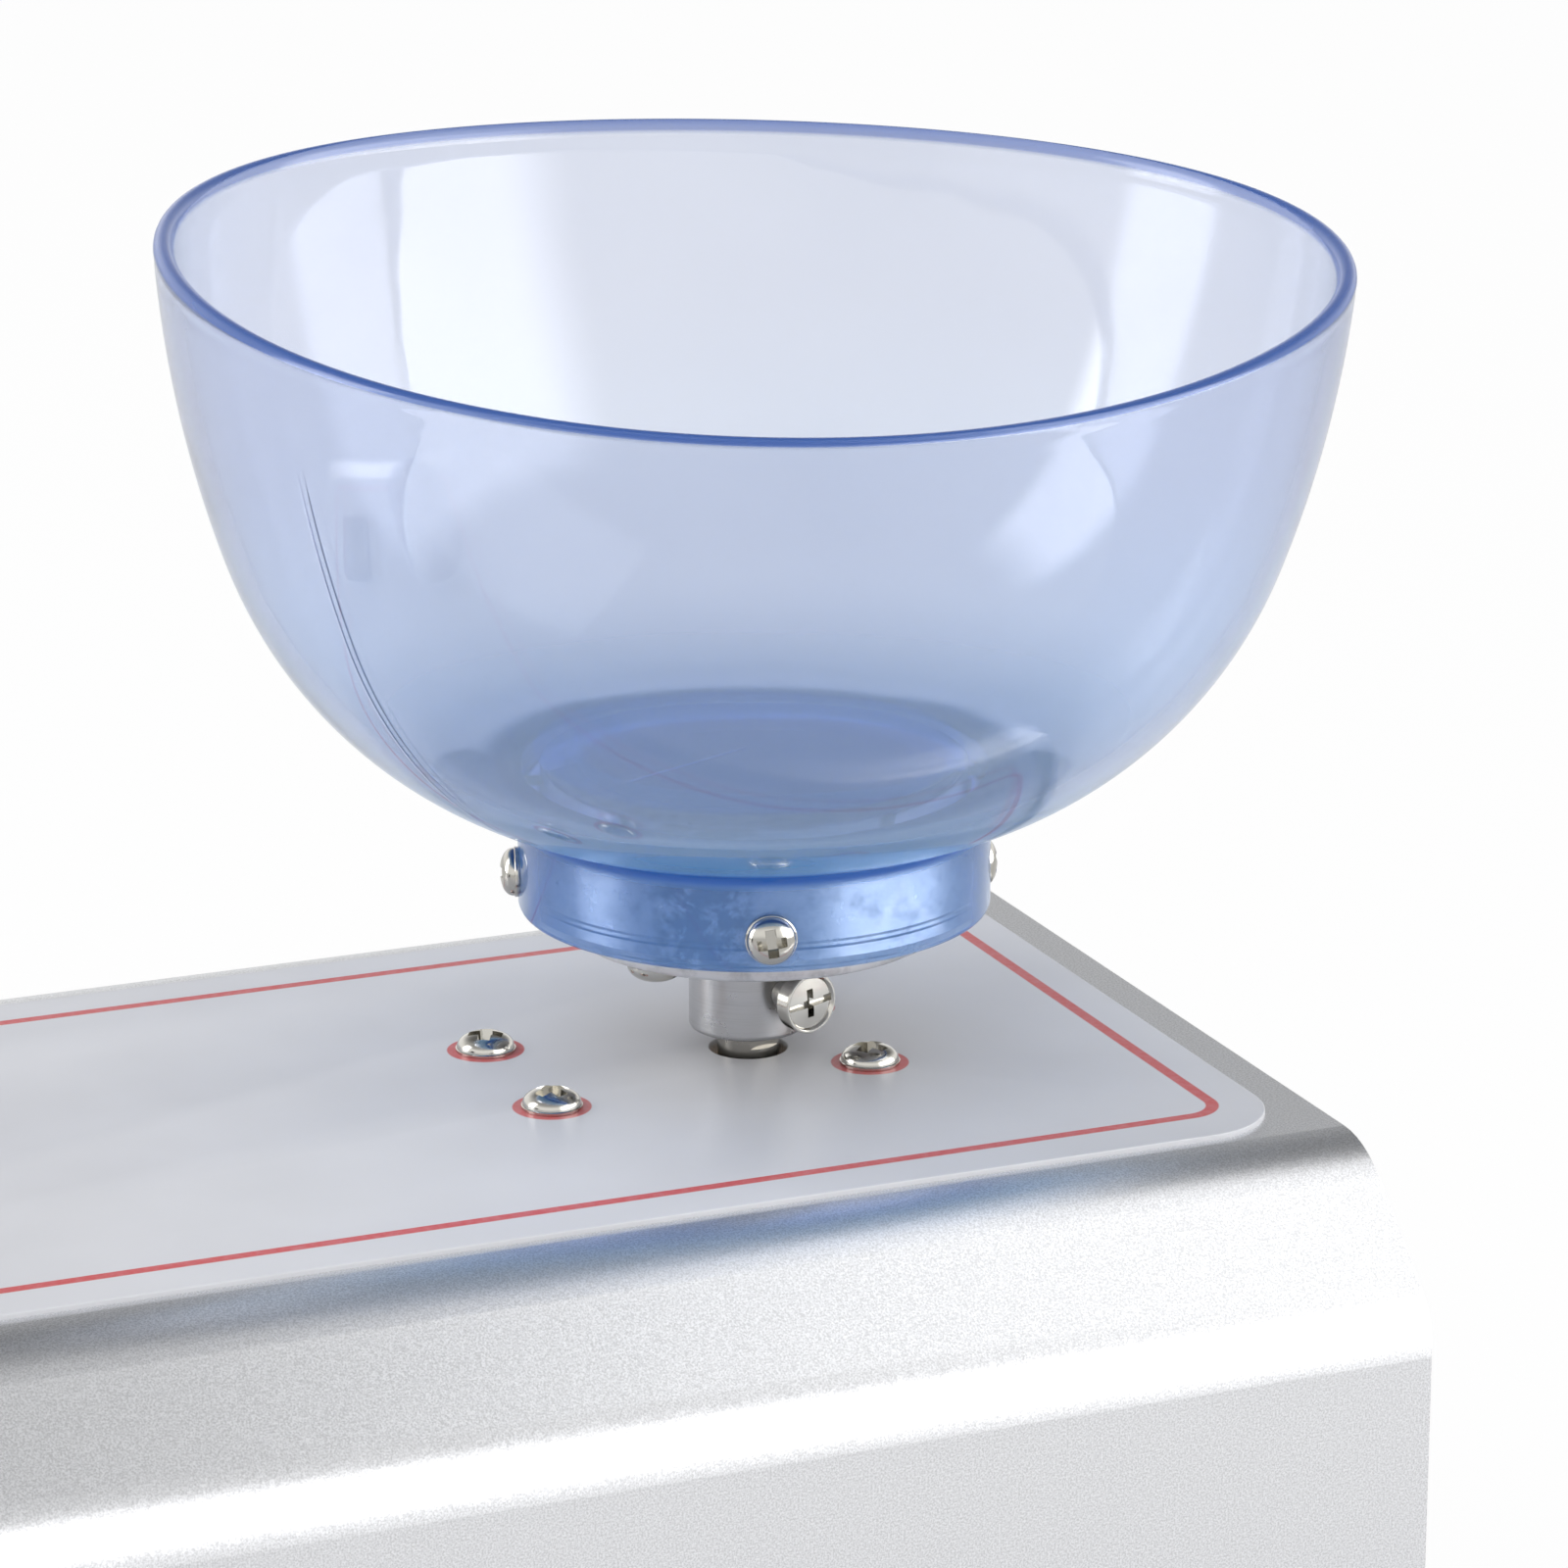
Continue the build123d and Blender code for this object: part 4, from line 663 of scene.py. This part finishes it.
def makeScrews():
    c = collar
    nickel = finishes["nickel"]
    shape = screwShape("deckScrew", 2.95, 1.8, 1.5, 6.7)
    finishPiece(copiesOf(shape, deckScrewPlaces(), "deckScrews"), nickel, "cabinet", ["deck_screws"], 32)
    shape = screwShape("bowlScrew", 2.45, 1.75, 1.25, 4.6, 0.13)
    places = [outFrom(c["bowlScrewTurn"] + 90 * k, bowl["skirtRadius"] + 0.02 - sunk, c["bowlScrewHeight"], 8 + 31 * k)
              for k, sunk in enumerate(c["bowlScrewSunk"])]
    finishPiece(copiesOf(shape, places, "bowlScrews"), nickel, "bowl_head", ["bowl_screws"], 32)
    shape = screwShape("carrierScrew", 2.95, 2.15, 1.5, 8.0)
    places = []
    for k in range(3):
        a = radians(c["carrierScrewTurn"] + 120 * k)
        spot = Vector((c["carrierScrewCircle"] * cos(a), c["carrierScrewCircle"] * sin(a), c["discBottom"])) + collarShift
        places.append(atSpindle @ Matrix.Translation(spot) @ Matrix.Rotation(pi, 4, "X"))
    finishPiece(copiesOf(shape, places, "carrierScrews"), nickel, "bowl_head", ["carrier_screws"], 32)


makeScrews()


# Hub clamp screw: a flat head with a raised ring, a long slot and a short cross

clampScrew = {"turn": -75.0, "height": 7.0, "reach": 10.0, "radius": 3.0, "thickness": 1.7, "ring": 0.34, "dish": 0.30,
              "slot": 0.92, "spin": 4.0}


def makeClampScrew():
    c = clampScrew
    r, t = c["radius"], c["thickness"]
    outline = [(0, t - c["dish"] + 0.16), (r * 0.35, t - c["dish"] + 0.13), (r * 0.62, t - c["dish"] + 0.05),
               (r - c["ring"] - 0.16, t - c["dish"]), (r - c["ring"], t - 0.05), (r - c["ring"] + 0.08, t),
               (r - 0.10, t), (r, t - 0.12), (r, 0.10), (r - 0.10, 0), (1.5, 0), (1.5, -4.9), (0, -4.9)]
    head = newObject(spinProfile(outline, 72), "clampScrew")
    cutAway(head, newObject(blockShape((2 * r - 2 * c["ring"] - 0.2, c["slot"], 1.6), (0, 0, t), (1, 0.7)), "cutter"))
    cutAway(head, newObject(blockShape((c["slot"] * 0.9, r * 1.35, 2.2), (0, 0, t), (0.8, 0.5)), "cutter"))
    # tags the slot and cross for the painted shade in them
    tagRecess(head, lambda spot: t - spot.z - 0.9 if spot.to_2d().length < r - 0.4 and spot.z > 0 else 0.0, 0.5)
    place = Matrix.Rotation(radians(c["turn"]), 4, "Z") @ Matrix.Translation((c["reach"] - t, 0, c["height"]))
    place = place @ Matrix.Rotation(radians(90), 4, "Y") @ Matrix.Rotation(radians(90 + c["spin"]), 4, "Z")
    head.data.transform(atSpindle @ place)
    finishPiece(head, finishes["nickel"], "bowl_head", ["hub_clamp_screw"], 30)


makeClampScrew()
print("screws made")


# Carrier disc and the core inside the bowl's skirt

def makeCarrier():
    c = collar
    low, high, r = c["discBottom"], c["discTop"], c["discRadius"]
    outline = [(4.0, low), (r - 0.45, low), (r - 0.12, low + 0.14), (r, low + 0.42), (r, high - 0.3), (r - 0.3, high), (4.0, high)]
    disc = newObject(spinProfile(outline, 120), "carrierDisc")
    disc.data.transform(atSpindle @ Matrix.Translation(collarShift))
    finishPiece(disc, finishes["disc"], "bowl_head", ["carrier_plate"], 30)
    top, r = bowl["seat"] - 0.02, c["coreRadius"]
    outline = [(0, high), (r - 0.5, high), (r, high + 0.5), (r, high + 1.5), (r - 0.18, high + 1.75), (r - 0.18, high + 2.05),
               (r, high + 2.3), (r, top - 0.5), (r - 0.5, top), (r * 0.66, top), (r * 0.64, top - 0.25), (r * 0.42, top - 0.25),
               (r * 0.40, top), (0, top)]
    core = newObject(spinProfile(outline, 120), "carrierCore")
    core.data.transform(atSpindle @ Matrix.Translation(collarShift))
    finishPiece(core, finishes["core"], "bowl_head", ["carrier_core"], 30)


makeCarrier()
print("carrier made")


# Deck plate with softened edges and its clearance holes

def makeDeckPlate():
    low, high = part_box("deck_plate")
    bm = bmesh.new()
    bmesh.ops.create_cube(bm, size=1)
    bmesh.ops.scale(bm, vec=high - low, verts=bm.verts)
    bmesh.ops.translate(bm, vec=(low + high) / 2, verts=bm.verts)
    upright = [e for e in bm.edges if abs(e.verts[0].co.z - e.verts[1].co.z) > 0.0001]
    bmesh.ops.bevel(bm, geom=upright, offset=plate["corner"] * mm, affect="EDGES", segments=18, profile=0.5, material=-1)
    slab = newObject(bm, "deckPlate")
    holes = [(spindle.x, spindle.y, 3.84 * mm, 64), (knobAxis.x, knobAxis.y, 3.6 * mm, 40)]
    for x, y, radius, segments in holes:
        cutter = bmesh.new()
        bmesh.ops.create_cone(cutter, cap_ends=True, segments=segments, radius1=radius, radius2=radius, depth=0.01)
        bmesh.ops.translate(cutter, vec=(x, y, low.z), verts=cutter.verts)
        cutAway(slab, newObject(cutter, "cutter"))
    switchLow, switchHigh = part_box("switch_housing")
    size = Vector((19.2 * mm, 13.0 * mm, 0.01))
    middle = (switchLow + switchHigh) / 2
    cutAway(slab, newObject(blockShape(size, (middle.x, middle.y, low.z)), "cutter"))
    bm = bmesh.new()
    bm.from_mesh(slab.data)
    bmesh.ops.remove_doubles(bm, verts=bm.verts, dist=1e-7)
    rims = []
    for edge in bm.edges:
        heights = [v.co.z for v in edge.verts]
        if min(heights) > high.z - 1e-6 and len(edge.link_faces) == 2 and edge.calc_face_angle() > radians(60):
            rims.append(edge)
    bmesh.ops.bevel(bm, geom=rims, offset=plate["bevel"] * mm, affect="EDGES", segments=3, profile=0.5, material=-1)
    bm.to_mesh(slab.data)
    bm.free()
    finishPiece(slab, finishes["film"], "cabinet", ["deck_plate"], 30)


makeDeckPlate()
print("deck plate made")


# Plain dial numbers round the knob and the switch's two marks

marks = {"numberSize": 2.5, "numberReach": 16.8, "tickInner": 14.3, "tickOuter": 15.3, "firstTurn": 150, "thickness": 0.03}


def flatText(words, size, place):
    curve = bpy.data.curves.new("mark", "FONT")
    curve.body = words
    curve.size = size
    curve.align_x = "CENTER"
    curve.align_y = "CENTER"
    curve.extrude = marks["thickness"] / 2
    made = bpy.data.objects.new("mark", curve)
    bpy.context.scene.collection.objects.link(made)
    bpy.context.view_layer.update()
    mesh = bpy.data.meshes.new_from_object(made.evaluated_get(bpy.context.evaluated_depsgraph_get()))
    bpy.data.objects.remove(made)
    mesh.transform(place)
    return mesh


def makeMarks():
    m = marks
    bm = bmesh.new()
    atKnob = Matrix.Translation((knobAxis.x, knobAxis.y, plateTop + m["thickness"] * mm)) @ Matrix.Scale(mm, 4)
    for number in range(11):
        if number == 8:
            continue  # the plate's red line runs there
        turn = radians(m["firstTurn"] - 30 * number)
        spot = Matrix.Translation((m["numberReach"] * cos(turn), m["numberReach"] * sin(turn), 0))
        if number in (0, 5, 10):
            bm.from_mesh(flatText(str(number), m["numberSize"], atKnob @ spot @ Matrix.Rotation(radians(-90), 4, "Z")))
        tick = blockShape((m["tickOuter"] - m["tickInner"], 0.45, m["thickness"]), ((m["tickOuter"] + m["tickInner"]) / 2, 0, 0))
        tick.transform(atKnob @ Matrix.Rotation(turn, 4, "Z"))
        mesh = bpy.data.meshes.new("tick")
        tick.to_mesh(mesh)
        tick.free()
        bm.from_mesh(mesh)
    low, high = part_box("switch_housing")
    for words, x in (("I", high.x + 3.2 * mm), ("O", low.x - 3.2 * mm)):
        place = Matrix.Translation((x, (low.y + high.y) / 2, plateTop + m["thickness"] * mm)) @ Matrix.Scale(mm, 4)
        bm.from_mesh(flatText(words, 3.8, place @ Matrix.Rotation(radians(-90), 4, "Z")))
    finishPiece(newObject(bm, "dialMarks"), finishes["ink"], "cabinet")


makeMarks()
print("marks made")


# Floor, light and camera

stage = {"floorSize": 6.0, "floorColor": (0.86, 0.86, 0.87), "glow": 0.95, "mirrorGlow": 0.6, "mirrorLevel": 0.79}


def seenThrough(tree, path):
    # 1 for what the camera sees, straight or through the bowl
    bounces = calc(tree, "ADD", path.outputs["Diffuse Depth"], path.outputs["Glossy Depth"])
    through = calc(tree, "MULTIPLY", path.outputs["Is Transmission Ray"], calc(tree, "LESS_THAN", bounces, 0.5))
    return calc(tree, "MAXIMUM", path.outputs["Is Camera Ray"], through)


def makeFloor():
    bm = bmesh.new()
    bmesh.ops.create_grid(bm, x_segments=1, y_segments=1, size=stage["floorSize"])
    floor = newObject(bm, "floor")
    material, tree, shader = newMaterial("paleFloor", stage["floorColor"], 0.8)
    glow = tree.nodes.new("ShaderNodeEmission")
    glow.inputs["Color"].default_value = (1, 1, 1, 1)
    path = tree.nodes.new("ShaderNodeLightPath")
    seen = seenThrough(tree, path)
    hidden = calc(tree, "SUBTRACT", 1.0, seen)
    tree.links.new(calc(tree, "MULTIPLY_ADD", hidden, stage["mirrorLevel"] - 1, 1.0), glow.inputs["Strength"])
    mirrored = calc(tree, "MULTIPLY", path.outputs["Is Glossy Ray"], stage["mirrorGlow"])
    seen = calc(tree, "MAXIMUM", calc(tree, "MULTIPLY", seen, stage["glow"]), calc(tree, "MULTIPLY", mirrored, hidden))
    mixed = tree.nodes.new("ShaderNodeMixShader")
    tree.links.new(seen, mixed.inputs["Fac"])
    tree.links.new(shader.outputs["BSDF"], mixed.inputs[1])
    tree.links.new(glow.outputs["Emission"], mixed.inputs[2])
    tree.links.new(mixed.outputs["Shader"], tree.nodes["Material Output"].inputs["Surface"])
    floor.data.materials.append(material)


# Light by height (0.5 at the horizon, 1 straight up), with a darker place behind the machine. The panels are
# soft boxes that only reflections see: degrees round from the front, height and brightness.
studio = {"panels": [{"turn": (8, 28, 84, 92), "rise": (-0.10, -0.02, 0.46, 0.62), "level": 4.4},
                     {"turn": (-126, -120, -100, -94), "rise": (-0.30, -0.16, 0.60, 0.78), "level": 6.0}],
          "levels": [(0.50, 0.80), (0.56, 1.0), (0.71, 1.0), (0.83, 0.56), (0.90, 0.40), (1.0, 0.40)], "strength": 1.30,
          "darkSpot": (0.36, 0.60, 0.74), "darkInner": 0.95, "darkOuter": 0.71, "darkDepth": 0.76}


def makeWorld():
    world = bpy.data.worlds.new("studio")
    bpy.context.scene.world = world
    world.use_nodes = True
    tree = world.node_tree
    background = tree.nodes["Background"]
    background.inputs["Color"].default_value = (1, 1, 1, 1)
    soft = tree.nodes.new("ShaderNodeBackground")
    direction = tree.nodes.new("ShaderNodeTexCoord").outputs["Generated"]
    height = calc(tree, "MULTIPLY_ADD", parts(tree, direction)[2], 0.5, 0.5)
    level = calc(tree, "MULTIPLY", ramp(tree, height, studio["levels"]), studio["strength"])
    toSpot = vectorCalc(tree, "DOT_PRODUCT", direction, Vector(studio["darkSpot"]).normalized())
    dark = calc(tree, "MULTIPLY", fade(tree, toSpot, studio["darkOuter"], studio["darkInner"]), studio["darkDepth"])
    level = calc(tree, "MULTIPLY", level, calc(tree, "SUBTRACT", 1.0, dark))
    path = tree.nodes.new("ShaderNodeLightPath")
    x, y, rise = parts(tree, direction)
    turn = calc(tree, "ARCTAN2", x, calc(tree, "MULTIPLY", y, -1.0))
    mirrored = calc(tree, "GREATER_THAN", path.outputs["Glossy Depth"], 0.5)
    mirrored = calc(tree, "MULTIPLY", mirrored, calc(tree, "LESS_THAN", path.outputs["Diffuse Depth"], 0.5))
    for panel in studio["panels"]:
        shown = mirrored
        for value, (start, full, fullEnd, end) in ((turn, [radians(a) for a in panel["turn"]]), (rise, panel["rise"])):
            shown = calc(tree, "MULTIPLY", shown, fade(tree, value, start, full))
            shown = calc(tree, "MULTIPLY", shown, fade(tree, value, end, fullEnd))
        level = calc(tree, "MULTIPLY_ADD", shown, panel["level"], level)
    tree.links.new(level, soft.inputs["Color"])
    seen = seenThrough(tree, path)
    mixed = tree.nodes.new("ShaderNodeMixShader")
    tree.links.new(seen, mixed.inputs["Fac"])
    tree.links.new(soft.outputs["Background"], mixed.inputs[1])
    tree.links.new(background.outputs["Background"], mixed.inputs[2])
    tree.links.new(mixed.outputs["Shader"], tree.nodes["World Output"].inputs["Surface"])


lamps = {"overhead": {"place": (0.28, -0.13, 0.43), "size": (0.26, 0.26), "power": 0.225},
         "right": {"place": (0.62, -0.48, 0.38), "size": (0.34, 0.80), "power": 1.2},
         "left": {"place": (-0.47, 0.28, 0.68), "size": (0.50, 0.50), "power": 2.7}}


def makeLamps():
    for name, lamp in lamps.items():
        light = bpy.data.lights.new(name, "AREA")
        light.shape = "RECTANGLE"
        light.size, light.size_y = lamp["size"]
        light.energy = lamp["power"]
        made = bpy.data.objects.new(name, light)
        made.visible_glossy = made.visible_transmission = name == "overhead"
        bpy.context.scene.collection.objects.link(made)
        made.location = lamp["place"]
        aim = Vector((spindle.x, spindle.y, 0.08)) - Vector(lamp["place"])
        made.rotation_euler = aim.to_track_quat("-Z", "Y").to_euler()


def makeCamera():
    a, e = radians(view["azimuth"]), radians(view["elevation"])
    back = Vector((sin(a) * cos(e), -cos(a) * cos(e), sin(e)))
    right = Vector((cos(a), sin(a), 0))
    up = back.cross(right)
    data = bpy.data.cameras.new("camera")
    data.lens = view["lens"]
    data.sensor_width = 36.0
    data.clip_start = 0.01
    data.clip_end = 50
    camera = bpy.data.objects.new("camera", data)
    bpy.context.scene.collection.objects.link(camera)
    place = Vector((spindle.x, spindle.y, plateTop)) + right * view["aside"] + up * view["above"] + back * view["distance"]
    camera.matrix_world = Matrix.Translation(place) @ Matrix((right, up, back)).transposed().to_4x4()
    bpy.context.scene.camera = camera


makeFloor()
makeWorld()
makeLamps()
makeCamera()
bpy.context.scene.view_settings.view_transform = "Standard"
print("stage, light and camera made")
